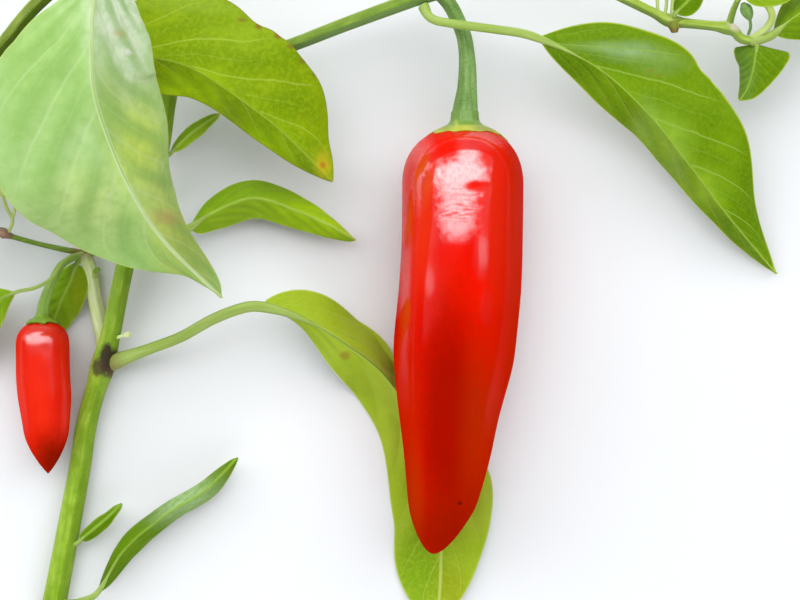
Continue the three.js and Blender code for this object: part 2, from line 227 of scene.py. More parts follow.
def objectPlace(tree):
    return tree.nodes.new("ShaderNodeTexCoord").outputs["Object"]


def attributeOf(tree, label):
    node = tree.nodes.new("ShaderNodeAttribute")
    node.attribute_name = label
    return node.outputs["Fac"]


# Soft cloudy patches
def makeMottling():
    group, given = newGroup("mottling", {"Place": None, "Scale": 100.0, "Low": 0.4, "High": 0.6}, ["Mask"])
    cloud = noiseOf(group, given["Place"], given["Scale"])
    return putOut(group, Mask=remap(group, cloud, given["Low"], given["High"]))


# Small round specks, in a share of the cells only
def makeSpecks():
    group, given = newGroup("specks", {"Place": None, "Scale": 500.0, "Size": 0.25, "Share": 0.5}, ["Mask"])
    cells = cellsOf(group, given["Place"], given["Scale"])
    dot = remap(group, cells["Distance"], given["Size"], 0.0)
    split = group.nodes.new("ShaderNodeSeparateColor")
    group.links.new(cells["Color"], split.inputs[0])
    chosen = calculate(group, "LESS_THAN", split.outputs[0], given["Share"])
    return putOut(group, Mask=times(group, dot, chosen))


# One blotch at a place of the branch, with a ragged edge
def makeBlotch():
    edgeScale = 900.0
    group, given = newGroup(
        "blotch",
        {"Place": None, "Centre": None, "Size": (0.002, 0.002, 0.002), "Ragged": 0.5, "Soft": 0.4}, ["Mask"],
    )
    offset = vectorMath(group, "SUBTRACT", given["Place"], given["Centre"]).outputs[0]
    scaled = vectorMath(group, "DIVIDE", offset, given["Size"]).outputs[0]
    distance = vectorMath(group, "LENGTH", scaled).outputs["Value"]
    shake = minus(group, noiseOf(group, given["Place"], edgeScale), 0.5)
    edge = plus(group, distance, times(group, shake, given["Ragged"]))
    outer = plus(group, 1.0, given["Soft"])
    inner = minus(group, 1.0, given["Soft"])
    return putOut(group, Mask=remap(group, edge, outer, inner))


# Long fine lines, patches and specks that follow a limb, from how far along and around it a place is
def makeLimbGrain():
    lineStretch, patchStretch, speckStretch = 0.05, 0.25, 0.7    # along the limb, for each around it
    patchFineness, speckFineness = 0.9, 7.0
    group, given = newGroup(
        "limbGrain", {"Surface": None, "Length": 50.0, "Fineness": 4.0}, ["Lines", "Patches", "Specks"],
    )
    split = splitPlace(group, given["Surface"])
    turn = times(group, split["Y"], 2 * math.pi)
    run = times(group, split["X"], given["Length"])

    def wrapped(stretch):
        place = group.nodes.new("ShaderNodeCombineXYZ")
        group.links.new(calculate(group, "COSINE", turn), place.inputs["X"])
        group.links.new(calculate(group, "SINE", turn), place.inputs["Y"])
        group.links.new(times(group, run, stretch), place.inputs["Z"])
        return place.outputs[0]

    lines = noiseOf(group, wrapped(lineStretch), given["Fineness"], 4.0, 0.65)
    patches = noiseOf(group, wrapped(patchStretch), patchFineness, 2.0)
    dots = noiseOf(group, wrapped(speckStretch), speckFineness, 2.0)
    return putOut(
        group, Lines=remap(group, lines, 0.35, 0.65), Patches=remap(group, patches, 0.35, 0.65),
        Specks=remap(group, dots, 0.56, 0.7),
    )


# Side veins from the flow that each leaf carries, the fine net between them, the midrib and the margin
def makeVeins():
    shakeScale, shakeSize = 240.0, 0.12    # how the side veins waver
    netScale, netWidth, netBend = 900.0, 0.11, 0.0012
    marginFrom, marginTo = 0.34, 0.1    # millimetres in from the edge
    group, given = newGroup(
        "veins",
        {"Flow": 0.0, "Across": 0.0, "Reach": 0.0, "Place": None, "Side Width": 0.05, "Rib Width": 0.3},
        ["Side", "Rib", "Net", "Margin", "Between", "Relief"],
    )
    side = calculate(group, "ABSOLUTE", given["Across"])
    reach = calculate(group, "ABSOLUTE", given["Reach"])
    shake = minus(group, noiseOf(group, given["Place"], shakeScale, 2.0), 0.5)
    flow = plus(group, given["Flow"], times(group, shake, shakeSize))
    nearest = calculate(group, "ABSOLUTE", minus(group, flow, calculate(group, "ROUND", flow)))
    width = times(group, given["Side Width"], minus(group, 1.0, times(group, side, 0.55)))
    line = times(group, remap(group, nearest, width, 0.0), remap(group, side, 1.0, 0.7))
    # weaker veins half way between the side veins
    half = calculate(group, "ABSOLUTE", minus(group, nearest, 0.5))
    weak = remap(group, half, times(group, width, 0.7), 0.0)
    weak = times(group, times(group, weak, 0.35), remap(group, side, 0.8, 0.2))
    line = calculate(group, "MAXIMUM", line, weak)
    middle = times(group, remap(group, half, 0.34, 0.04), remap(group, side, 1.0, 0.6))
    middle = times(group, middle, remap(group, side, 0.02, 0.25))
    rib = remap(group, reach, given["Rib Width"], times(group, given["Rib Width"], 0.35))
    # the net is a little crooked
    bend = group.nodes.new("ShaderNodeTexNoise")
    group.links.new(given["Place"], bend.inputs["Vector"])
    bend.inputs["Scale"].default_value = 700.0
    scaled = vectorMath(group, "SCALE", bend.outputs["Color"])
    scaled.inputs["Scale"].default_value = netBend
    crooked = vectorMath(group, "ADD", given["Place"], scaled.outputs[0]).outputs[0]
    cells = cellsOf(group, crooked, netScale, "DISTANCE_TO_EDGE")
    net = remap(group, cells["Distance"], netWidth, 0.0)
    inward = calculate(group, "DIVIDE", 1.0, calculate(group, "MAXIMUM", side, 0.05))
    inward = times(group, minus(group, inward, 1.0), reach)
    return putOut(
        group, Side=line, Rib=rib, Net=net, Margin=remap(group, inward, marginFrom, marginTo),
        Between=middle, Relief=calculate(group, "MAXIMUM", line, times(group, net, 0.3)),
    )


mottling = makeMottling()
specks = makeSpecks()
blotch = makeBlotch()
limbGrain = makeLimbGrain()
veins = makeVeins()


def useGroup(tree, group, **values):
    node = tree.nodes.new("ShaderNodeGroup")
    node.node_tree = group
    for label, value in values.items():
        setInput(tree, node.inputs[label.replace("_", " ")], value)
    return node.outputs


def cloudsOf(tree, place, scale, low, high):
    return useGroup(tree, mottling, Place=place, Scale=scale, Low=low, High=high)["Mask"]


def specksOf(tree, place, scale, size, share):
    return useGroup(tree, specks, Place=place, Scale=scale, Size=size, Share=share)["Mask"]


def blotchOf(tree, place, centre, size, ragged, soft):
    size = Vector(size) * mm
    result = useGroup(tree, blotch, Place=place, Centre=inFrame(centre), Size=size, Ragged=ragged, Soft=soft)
    return result["Mask"]


def newMaterial(name, roughness, specular, coat=0.0, coatRoughness=0.1):
    material = bpy.data.materials.new(name)
    material.use_nodes = True
    shader = material.node_tree.nodes["Principled BSDF"]
    shader.inputs["Roughness"].default_value = roughness
    shader.inputs["Specular IOR Level"].default_value = specular
    shader.inputs["Coat Weight"].default_value = coat
    shader.inputs["Coat Roughness"].default_value = coatRoughness
    return material, material.node_tree, shader


def addBump(tree, shader, height, strength, distance):
    bump = tree.nodes.new("ShaderNodeBump")
    bump.inputs["Strength"].default_value = strength
    bump.inputs["Distance"].default_value = distance
    tree.links.new(height, bump.inputs["Height"])
    tree.links.new(bump.outputs["Normal"], shader.inputs["Normal"])


def layOver(tree, colour, mask, strength, tint):
    return blendColours(tree, times(tree, mask, strength), colour, paint(*tint))


# Blotches are (centre, size, ragged, soft, colour, strength), over a colour that is already there
def addBlotches(tree, place, colour, marks):
    for centre, size, ragged, soft, tint, strength in marks:
        colour = layOver(tree, colour, blotchOf(tree, place, centre, size, ragged, soft), strength, tint)
    return colour


# What a leaf's look has unless it says otherwise: widths are in millimetres for the midrib and in
# shares of the space between side veins for these, and the rest is how much of each layer shows
leafLookDefaults = {
    "sideWidth": 0.05, "ribWidth": 0.32, "patchScale": 70.0, "between": 0.15, "fine": 0.2, "flecks": 0.3,
    "net": 0.07, "side": 0.5, "ribShow": 0.8, "marginShow": 0.75, "specks": 0.3, "washes": [], "marks": [],
}


def leafMaterial(name, given):
    look = {**leafLookDefaults, "fleck": given["light"], **given}
    material, tree, shader = newMaterial(name, 0.45, 0.04)
    place = objectPlace(tree)
    vein = useGroup(
        tree, veins, Flow=attributeOf(tree, "veinFlow"), Reach=attributeOf(tree, "reach"),
        Across=attributeOf(tree, "across"), Place=place, Side_Width=look["sideWidth"],
        Rib_Width=look["ribWidth"],
    )
    wide = cloudsOf(tree, place, look["patchScale"], 0.38, 0.62)
    fine = cloudsOf(tree, place, 430.0, 0.35, 0.65)
    flecks = cloudsOf(tree, place, 1300.0, 0.46, 0.62)
    dots = specksOf(tree, place, 260.0, 0.14, 0.15)
    colour = blendColours(tree, wide, paint(*look["body"]), paint(*look["light"]))
    # some washes are painted light and painted sheen, as the looks mark them
    colour = addBlotches(tree, place, colour, look["washes"])
    # mask, what says how much of it shows, and its colour
    layers = [
        (vein["Between"], "between", "dark"), (fine, "fine", "dark"), (flecks, "flecks", "fleck"),
        (vein["Net"], "net", "vein"), (vein["Side"], "side", "vein"), (vein["Rib"], "ribShow", "rib"),
        (vein["Margin"], "marginShow", "margin"), (dots, "specks", "dark"),
    ]
    for mask, strength, tint in layers:
        colour = layOver(tree, colour, mask, look[strength], look[tint])
    colour = addBlotches(tree, place, colour, look["marks"])
    tree.links.new(colour, shader.inputs["Base Color"])
    tree.links.new(remap(tree, fine, 0.0, 1.0, 0.4, 0.52), shader.inputs["Roughness"])
    addBump(tree, shader, vein["Relief"], 0.35, -0.0001)
    return material


# shade and lit are a painted shade and a painted light on the two sides of a limb; their show is how much of
# each shows
limbLookDefaults = {
    "fineness": 3.0, "lines": 0.45, "specks": 0.35, "shadeShow": 0.7, "litShow": 0.6,
    "farFrom": 0.3, "farTo": 0.6, "washes": [], "marks": [],
}


def limbMaterial(name, given):
    look = {**limbLookDefaults, **given}
    material, tree, shader = newMaterial(name, 0.42, 0.18)
    place = objectPlace(tree)
    surface = tree.nodes.new("ShaderNodeUVMap")
    surface.uv_map = "UVMap"
    surface = surface.outputs["UV"]
    grain = useGroup(tree, limbGrain, Surface=surface, Length=look["length"], Fineness=look["fineness"])
    colour = blendColours(tree, grain["Patches"], paint(*look["body"]), paint(*look["light"]))
    colour = addBlotches(tree, place, colour, look["washes"])
    # one side gets a painted shade and the other a painted light, by how its faces lean; what is far along it
    # can have a colour of its own
    lean = attributeOf(tree, "lean")
    if "shade" in look:
        colour = layOver(tree, colour, remap(tree, lean, 0.05, 0.75), look["shadeShow"], look["shade"])
    if "lit" in look:
        colour = layOver(tree, colour, remap(tree, lean, -0.25, -0.9), look["litShow"], look["lit"])
    if "far" in look:
        far = remap(tree, splitPlace(tree, surface)["X"], look["farFrom"], look["farTo"])
        colour = blendColours(tree, far, colour, paint(*look["far"]))
    colour = layOver(tree, colour, grain["Lines"], look["lines"], look["line"])
    colour = layOver(tree, colour, grain["Specks"], look["specks"], look["speck"])
    colour = addBlotches(tree, place, colour, look["marks"])
    tree.links.new(colour, shader.inputs["Base Color"])
    tree.links.new(remap(tree, grain["Lines"], 0.0, 1.0, 0.36, 0.5), shader.inputs["Roughness"])
    addBump(tree, shader, grain["Lines"], 0.4, 0.0001)
    return material


def onlySelect(piece):
    bpy.ops.object.select_all(action="DESELECT")
    piece.select_set(True)
    bpy.context.view_layer.objects.active = piece


def applyModifier(piece, kind, **values):
    onlySelect(piece)
    bpy.ops.object.modifier_add(type=kind)
    modifier = piece.modifiers[-1]
    for label, value in values.items():
        setattr(modifier, label, value)
    bpy.ops.object.modifier_apply(modifier=modifier.name)


def faceOutwards(piece, merge=False):
    onlySelect(piece)
    bpy.ops.object.mode_set(mode="EDIT")
    bpy.ops.mesh.select_all(action="SELECT")
    if merge:
        bpy.ops.mesh.remove_doubles(threshold=mergeWithin)
    bpy.ops.mesh.normals_make_consistent(inside=False)
    bpy.ops.object.mode_set(mode="OBJECT")


def shadeSmooth(piece, angle=60):
    onlySelect(piece)
    bpy.ops.object.shade_smooth_by_angle(angle=math.radians(angle))


def cleanMesh(piece, angle):
    faceOutwards(piece, merge=True)
    shadeSmooth(piece, angle)


def joinInto(piece, other):
    onlySelect(other)
    piece.select_set(True)
    bpy.context.view_layer.objects.active = piece
    bpy.ops.object.join()
    return piece


def finishPiece(piece, slotName, *nodes):
    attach(piece, "root")
    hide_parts(*nodes)
    print("piece", piece.name, len(piece.data.polygons), "faces")


# A number for each point of a mesh, which the materials read by its name
def carry(mesh, label, values):
    mesh.attributes.new(label, "FLOAT", "POINT").data.foreach_set("value", values)


# A curve of straight pieces through points, each with its radius
def drawCurve(curve, points, radii):
    curve.splines.clear()
    line = curve.splines.new("POLY")
    line.points.add(len(points) - 1)
    for point, place, radius in zip(line.points, points, radii):
        point.co = (*place, 1)
        point.radius = radius
    return line


# A round body along a path: a curve whose cross-section has soft ridges, turned into a mesh
def makeTube(
    name, path, radiusAt, places, material, sides=32, ridges=5, ridge=0.05, turn=0.0, paintedShadeWay=(1, 0, 0),
):
    bpy.ops.curve.primitive_bezier_circle_add()
    section = bpy.context.object
    ring = []
    for index in range(sides):
        angle = 2 * math.pi * index / sides
        size = mm * (1 + ridge * math.cos(ridges * angle + turn) + 0.3 * ridge * math.cos(2 * ridges * angle))
        ring.append((size * math.cos(angle), size * math.sin(angle), 0))
    drawCurve(section.data, ring, [1] * sides).use_cyclic_u = True
    bpy.ops.curve.primitive_bezier_curve_add()
    tube = bpy.context.object
    tube.name = name
    tube.data.name = name
    tube.location = (0, 0, 0)
    line = [inFrame(pointAt(path, along)) for along in places]
    drawCurve(tube.data, line, [radiusAt(along) for along in places])
    tube.data.bevel_mode = "OBJECT"
    tube.data.bevel_object = section
    tube.data.use_fill_caps = True
    tube.data.twist_mode = "MINIMUM"
    tube.data.materials.append(material)
    onlySelect(tube)
    bpy.ops.object.convert(target="MESH")
    tube = bpy.context.object
    bpy.data.objects.remove(section)
    cleanMesh(tube, 50)
    # how far each face leans towards the side that gets the painted shade, and away from the side with the
    # painted light
    leaning = Vector(paintedShadeWay)
    carry(tube.data, "lean", [vertex.normal.dot(leaning) for vertex in tube.data.vertices])
    return tube


def evenPlaces(count):
    return [index / count for index in range(count + 1)]


limbDefaults = {"knots": [], "step": 0.7, "sides": 32, "ridge": 0.05, "paintedShadeWay": (1, 0, 0)}


# A limb swells at its knots, each a place along it, how much thicker it is there, and how far that spreads
def makeLimb(name, given, material):
    limb = {**limbDefaults, **given}
    path = smoothPath(limb["points"])
    length = pathLength(path)

    def radiusAt(along):
        radius = between(limb["radii"], along)
        for place, extra, spread in limb["knots"]:
            radius += extra * bumpAt((along - place) * length, spread)
        return radius

    places = evenPlaces(max(8, int(length / limb["step"])))
    return makeTube(
        name, path, radiusAt, places, material, limb["sides"], ridge=limb["ridge"], paintedShadeWay=limb["paintedShadeWay"],
    )


leafRest = 0.45    # a blade comes no lower than this
restBend = 0.3    # how softly it turns there
lowestBlade = 0.32    # the same, once it has its swellings
narrowest = 0.12    # half of the width at a leaf's ends


def halfWidth(half, along):
    base = max(along, 0) / half["peak"]
    tip = max(1 - along, 0) / (1 - half["peak"])
    width = half["width"] * (base ** half["peak"] * tip ** (1 - half["peak"])) ** half["fullness"]
    for place, depth, spread in half["notches"]:
        width -= depth * bumpAt(along - place, spread)
    return max(narrowest, width)


def droopAt(angles, along):
    first, second, part = neighbours(angles, along)
    return math.radians(first + (second - first) * smoothStep(0, 1, part))


# The number of side veins passed so far, at a place of one half of the blade
def veinFlowAt(half, across, along):
    start = along - half["rise"] * (1 - 0.5 * along) * abs(across) ** half["bend"]
    starts = half["veins"]
    index = 0
    while index < len(starts) - 2 and start > starts[index + 1]:
        index += 1
    return index + (start - starts[index]) / (starts[index + 1] - starts[index])


def halfOf(leaf, across):
    return leaf["left"] if across < 0 else leaf["right"]


def bladePoint(leaf, rib, across, along):
    way = wayAt(rib, along)
    right = way.cross(Vector((0, 0, 1))).normalized()
    up = right.cross(way)
    half = halfOf(leaf, across)
    reach = abs(across) * halfWidth(half, along)
    droop = droopAt(half["droop"], along)
    wave = leaf["ripple"] * math.sin(2 * math.pi * leaf["waves"] * along + 2 * across) * across * across
    sideways = math.copysign(reach * math.cos(droop), across)
    place = pointAt(rib, along) + right * sideways + up * (wave - reach * math.sin(droop))
    above = place.z - leafRest
    place.z = leafRest + (above + math.sqrt(above * above + restBend)) / 2
    return place


# Veins sink a little and the blade swells between them
def bladeRelief(leaf, across, along):
    flow = veinFlowAt(halfOf(leaf, across), across, along)
    nearest = abs(flow - round(flow))
    inside = (1 - across ** 4) * min(1, 5 * along) * min(1, 5 * (1 - along))
    swell = 0.5 - 0.5 * math.cos(2 * math.pi * nearest)
    hollow = bumpAt(nearest, 0.09)
    return leaf["swell"] * inside * min(1, 4 * abs(across)) * (swell - 0.35 * hollow)


# One half of a blade: its greatest width and where along it that is, how full it is to both ends, and how
# many degrees it hangs down, from its foot to its tip. Its side veins start at places along the midrib, rise
# on to the margin and bend on the way. A notch is a place along the blade, how much narrower it is there,
# and how far that spreads. A leaf whose halves are alike has them as both.
def halfBlade(width, peak, fullness, droop, rise=0.42, bend=0.95, veins=None, notches=()):
    return {
        "width": width, "peak": peak, "fullness": fullness, "droop": droop, "rise": rise, "bend": bend,
        "veins": veins, "notches": notches,
    }


# A blade's faces are about as large as its cell and crowd towards the midrib; the stalk flares at its foot
leafDefaults = {
    "stalkRadius": 0.8, "stalkSkin": "leafStalk", "ripple": 0.3, "waves": 2.5, "swell": 0.35,
    "thickness": 0.32, "cell": 0.55, "flare": 0.3, "flareLength": 1.5, "ribSize": 0.17,
    "uneven": 0.3, "unevenScale": 0.13, "crowding": 1.3,
}
sideVeins = {
    "right": [0.04, 0.2, 0.36, 0.52, 0.68, 0.83, 0.95], "left": [0.08, 0.25, 0.42, 0.58, 0.74, 0.88, 0.97],
}
ribFrom, ribShare, ribPlaces = 0.04, 0.86, 18    # the part of the midrib that the stalk runs up


def makeBlade(name, leaf, rib, top, under):
    width = leaf["right"]["width"] + leaf["left"]["width"]
    bpy.ops.mesh.primitive_grid_add(
        x_subdivisions=max(10, 2 * int(width / leaf["cell"] / 2)),
        y_subdivisions=max(16, int(pathLength(rib) / leaf["cell"])), size=1, calc_uvs=True,
    )
    blade = bpy.context.object
    blade.name = name
    blade.data.name = name
    mesh = blade.data
    carried = {"veinFlow": [], "reach": [], "across": []}
    for vertex in mesh.vertices:
        across = math.copysign(abs(2 * vertex.co.x) ** leaf["crowding"], vertex.co.x)
        along = min(max(vertex.co.y + 0.5, 0), 1)
        place = bladePoint(leaf, rib, across, along)
        acrossWay = bladePoint(leaf, rib, across + 0.01, along) - bladePoint(leaf, rib, across - 0.01, along)
        alongWay = bladePoint(leaf, rib, across, min(along + 0.01, 1))
        alongWay -= bladePoint(leaf, rib, across, max(along - 0.01, 0))
        outward = acrossWay.cross(alongWay).normalized()
        uneven = noise.noise(place * leaf["unevenScale"]) * leaf["uneven"] * across * across
        place += outward * (bladeRelief(leaf, across, along) + uneven)
        place.z = max(place.z, lowestBlade)
        vertex.co = inFrame(place)
        half = halfOf(leaf, across)
        carried["veinFlow"].append(veinFlowAt(half, across, along))
        carried["reach"].append(across * halfWidth(half, along))
        carried["across"].append(across)
    for label, values in carried.items():
        carry(mesh, label, values)
    mesh.materials.append(top)
    mesh.materials.append(under)
    applyModifier(blade, "SOLIDIFY", thickness=leaf["thickness"] * mm, offset=0, material_offset=1)
    shadeSmooth(blade)
    return blade


# A leaf is its blade and a stalk, which flares at its foot and runs on up the midrib
def makeLeaf(name, given, top, under):
    leaf = {**leafDefaults, **given}
    for side, starts in sideVeins.items():
        leaf[side] = dict(given[side] if side in given else given["both"])
        leaf[side]["veins"] = leaf[side]["veins"] or starts
    rib = smoothPath(leaf["rib"])
    length = pathLength(rib)
    radius = leaf["stalkRadius"]
    ribPart = [pointAt(rib, ribFrom + ribShare * step / ribPlaces) for step in range(ribPlaces + 1)]
    path = smoothPath([*leaf["stalk"], *ribPart])
    stalkShare = pathLength(smoothPath(leaf["stalk"])) / pathLength(path)

    def radiusAt(along):
        if along < stalkShare:
            return radius * (1 + leaf["flare"] * bumpAt(along * length, leaf["flareLength"]))
        onRib = (along - stalkShare) / (1 - stalkShare)
        ribRadius = leaf["ribSize"] * (1 - 0.65 * min(1, onRib * 1.2))
        return ribRadius + (radius - ribRadius) * smoothStep(0.2, 0, onRib)

    blade = makeBlade(name, leaf, rib, top, under)
    places = evenPlaces(max(30, int(pathLength(path) / 0.8)))
    skin = limbSkins[leaf["stalkSkin"]]
    return joinInto(blade, makeTube(name + "Stalk", path, radiusAt, places, skin, 20, 3, 0.06))


print("stage materials")
leafLooks = {
    "front": {
        "body": (164, 202, 112), "light": (180, 212, 138), "dark": (138, 180, 88), "vein": (200, 224, 160),
        "rib": (206, 228, 172), "margin": (190, 208, 112), "side": 0.3, "sideWidth": 0.1, "net": 0.03,
        "ribWidth": 0.5, "patchScale": 36.0, "between": 0.6, "fine": 0.35, "flecks": 0.1,
        "washes": [
            # the first four washes and the sixth are painted light: the blade made lighter where the lamps
            # leave it darker
            [(-45.4, 46, 44), (4.6, 13, 12), 0.4, 0.7, (232, 242, 216), 0.9],
            [(-44.0, 25.5, 36), (3.6, 8, 12), 0.4, 0.7, (206, 228, 92), 0.9],
            [(-39.6, 14.2, 32), (3.4, 7, 12), 0.4, 0.7, (212, 228, 104), 0.85],
            [(-52, 14, 38), (9, 7, 14), 0.6, 0.8, (196, 222, 132), 0.6],
            [(-37.5, 7.4, 24), (5, 6, 12), 0.5, 0.7, (172, 186, 84), 0.8],
            [(-51.4, 16.8, 38), (4, 4.4, 12), 0.6, 0.9, (206, 228, 136), 0.7],
            [(-61.8, 30, 38), (6, 9, 12), 0.6, 0.8, (148, 186, 98), 0.6],
            [(-48, 32, 42), (2, 7, 9), 0.4, 0.8, (156, 188, 76), 0.7],
            [(-54.6, 37.2, 45), (3, 1.5, 9), 0.8, 0.7, (140, 178, 92), 0.5],
        ],
        "marks": [
            [(-45.6, 41.5, 44), (0.7, 0.6, 9), 0.8, 0.6, (236, 238, 222), 0.8],
            [(-46.6, 44.2, 44), (0.9, 0.6, 9), 0.9, 0.9, (196, 156, 92), 0.5],
            [(-40.4, 14.4, 30), (2, 1.3, 12), 0.9, 0.8, (200, 160, 104), 0.55],
        ],
    },
    "middle": {
        "body": (121, 152, 2), "light": (138, 166, 7), "dark": (106, 138, 1), "vein": (170, 194, 64),
        "rib": (160, 188, 66), "margin": (150, 140, 34), "fine": 0.3, "side": 0.65, "sideWidth": 0.06,
        "ribWidth": 0.16, "ribShow": 0.6, "between": 0.3, "fleck": (158, 180, 20), "flecks": 0.4, "net": 0.1,
        "washes": [
            [(-28.5, 48, 20), (7, 3.5, 12), 0.5, 0.8, (154, 182, 34), 0.6],
            # the next two washes are painted light on the drooping half, which the lamps leave darker
            [(-38.6, 36.6, 16), (7, 4, 9), 0.4, 0.7, (184, 222, 6), 0.95],
            [(-27.5, 28.4, 14), (8, 4.4, 9), 0.4, 0.7, (160, 198, 6), 0.85],
            [(-37.4, 52.7, 21), (10, 1.6, 9), 0.5, 0.7, (162, 190, 62), 0.5],
        ],
        "marks": [
            [(-25.3, 49, 20), (0.6, 0.5, 9), 0.9, 0.5, (140, 96, 34), 0.8],
            [(-22, 47.4, 20), (0.6, 0.5, 9), 0.9, 0.5, (140, 96, 34), 0.8],
            [(-28.2, 50, 20), (0.9, 0.4, 9), 0.9, 0.5, (128, 116, 34), 0.7],
            [(-19.6, 45.6, 20), (0.7, 0.5, 9), 0.9, 0.5, (132, 108, 34), 0.7],
            [(-17.5, 43.2, 20), (0.6, 0.7, 9), 0.9, 0.5, (128, 104, 34), 0.7],
            [(-15.6, 40.9, 20), (0.4, 0.6, 9), 0.9, 0.5, (122, 100, 34), 0.7],
            [(-14, 24.5, 14), (1.3, 2.4, 9), 0.7, 0.7, (194, 184, 36), 0.8],
            [(-14, 24.5, 14), (0.5, 0.6, 9), 0.7, 0.5, (192, 112, 30), 0.8],
        ],
    },
    "right": {
        "body": (101, 136, 3), "light": (113, 147, 7), "dark": (86, 124, 2), "vein": (146, 178, 66),
        "rib": (154, 184, 70), "margin": (190, 206, 72), "side": 0.8, "sideWidth": 0.06,
        "ribWidth": 0.2, "ribShow": 0.6, "between": 0.3, "fleck": (130, 160, 18), "net": 0.1,
        "washes": [
            # the next three washes are a painted sheen, a bluish band along the first side vein
            [(35, 45.8, 15), (5, 0.9, 9), 0.4, 0.9, (138, 168, 92), 0.8],
            [(41, 45, 15), (5, 1.6, 9), 0.4, 0.9, (146, 176, 122), 0.85],
            [(47, 43, 15), (4, 1.8, 9), 0.4, 0.95, (136, 168, 92), 0.6],
            [(31.5, 42.8, 15), (6, 3.0, 9), 0.5, 0.7, (88, 126, 2), 0.8],
            [(36, 49.4, 15), (8, 2.2, 9), 0.5, 0.7, (100, 134, 12), 0.7],
            # these two are painted sheen, bluish stripes between the veins of the drooping half
            [(44.6, 31.6, 14), (1.6, 4.0, 9), 0.3, 1.0, (138, 174, 84), 0.6],
            [(50.6, 23, 12), (1.6, 4.0, 9), 0.3, 1.0, (138, 172, 80), 0.6],
            # these three are painted light on the drooping half, which the lamps leave darker
            [(37, 36.6, 14), (5, 4, 9), 0.6, 0.8, (130, 172, 10), 0.6],
            [(47, 28.4, 14), (5, 5, 9), 0.6, 0.8, (152, 190, 60), 0.75],
            [(54.4, 19.6, 12), (5, 4, 9), 0.6, 0.8, (158, 194, 46), 0.75],
            [(60.4, 24, 12), (2.4, 7, 9), 0.5, 0.8, (130, 168, 12), 0.55],
            [(62.6, 41, 11), (2.2, 6, 9), 0.6, 0.7, (118, 158, 74), 0.7],
        ],
        "marks": [
            [(45.3, 41.4, 15), (0.5, 0.35, 9), 0.8, 0.6, (142, 124, 34), 0.5],
            [(46.8, 40.6, 15), (0.35, 0.3, 9), 0.8, 0.6, (142, 124, 34), 0.5],
        ],
    },
    "lower": {
        "body": (160, 187, 38), "light": (172, 196, 54), "dark": (146, 174, 26), "vein": (186, 208, 84),
        "rib": (192, 210, 100), "margin": (204, 216, 110), "ribWidth": 0.4,
        "washes": [
            [(3.8, -51, 1), (5, 8, 6), 0.5, 0.6, (116, 160, 10), 0.85],
            [(9.5, -55, 1), (3, 5, 6), 0.6, 0.7, (150, 150, 12), 0.6],
            [(-2, -19, 9), (4, 13, 9), 0.5, 0.8, (186, 208, 66), 0.7],
        ],
        "marks": [[(-10.2, -10.3, 9), (0.9, 0.8, 9), 0.8, 0.6, (150, 108, 32), 0.6]],
    },
    "plain": {
        "body": (128, 166, 22), "light": (146, 181, 32), "dark": (110, 150, 12), "vein": (164, 192, 70),
        "rib": (170, 198, 80), "margin": (186, 204, 80),
        "washes": [
            [(-60.4, 1.9, 3), (1.8, 5, 5), 0.5, 0.7, (150, 152, 20), 0.6],
            [(-15.5, 14.5, 6), (9, 5, 8), 0.4, 0.7, (172, 208, 12), 0.85],
        ],
    },
    "deep": {
        "body": (94, 129, 4), "light": (112, 147, 12), "dark": (74, 110, 2), "vein": (138, 172, 52),
        "rib": (146, 180, 64), "margin": (150, 180, 62),
        "washes": [
            # a pale bluish painted sheen
            [(-41, -37, 7), (8, 4.4, 9), 0.6, 0.8, (180, 212, 150), 0.8],
            [(-52, -45, 6), (5, 4, 9), 0.6, 0.8, (112, 152, 0), 0.7],
        ],
    },
}
underLook = {
    "body": (150, 182, 84), "light": (162, 192, 100), "dark": (134, 168, 70), "vein": (184, 206, 130),
    "rib": (190, 210, 138), "margin": (190, 206, 112),
}
leafSkins = {label: leafMaterial(label + "Leaf", look) for label, look in leafLooks.items()}
leafUnder = leafMaterial("leafUnder", underLook)

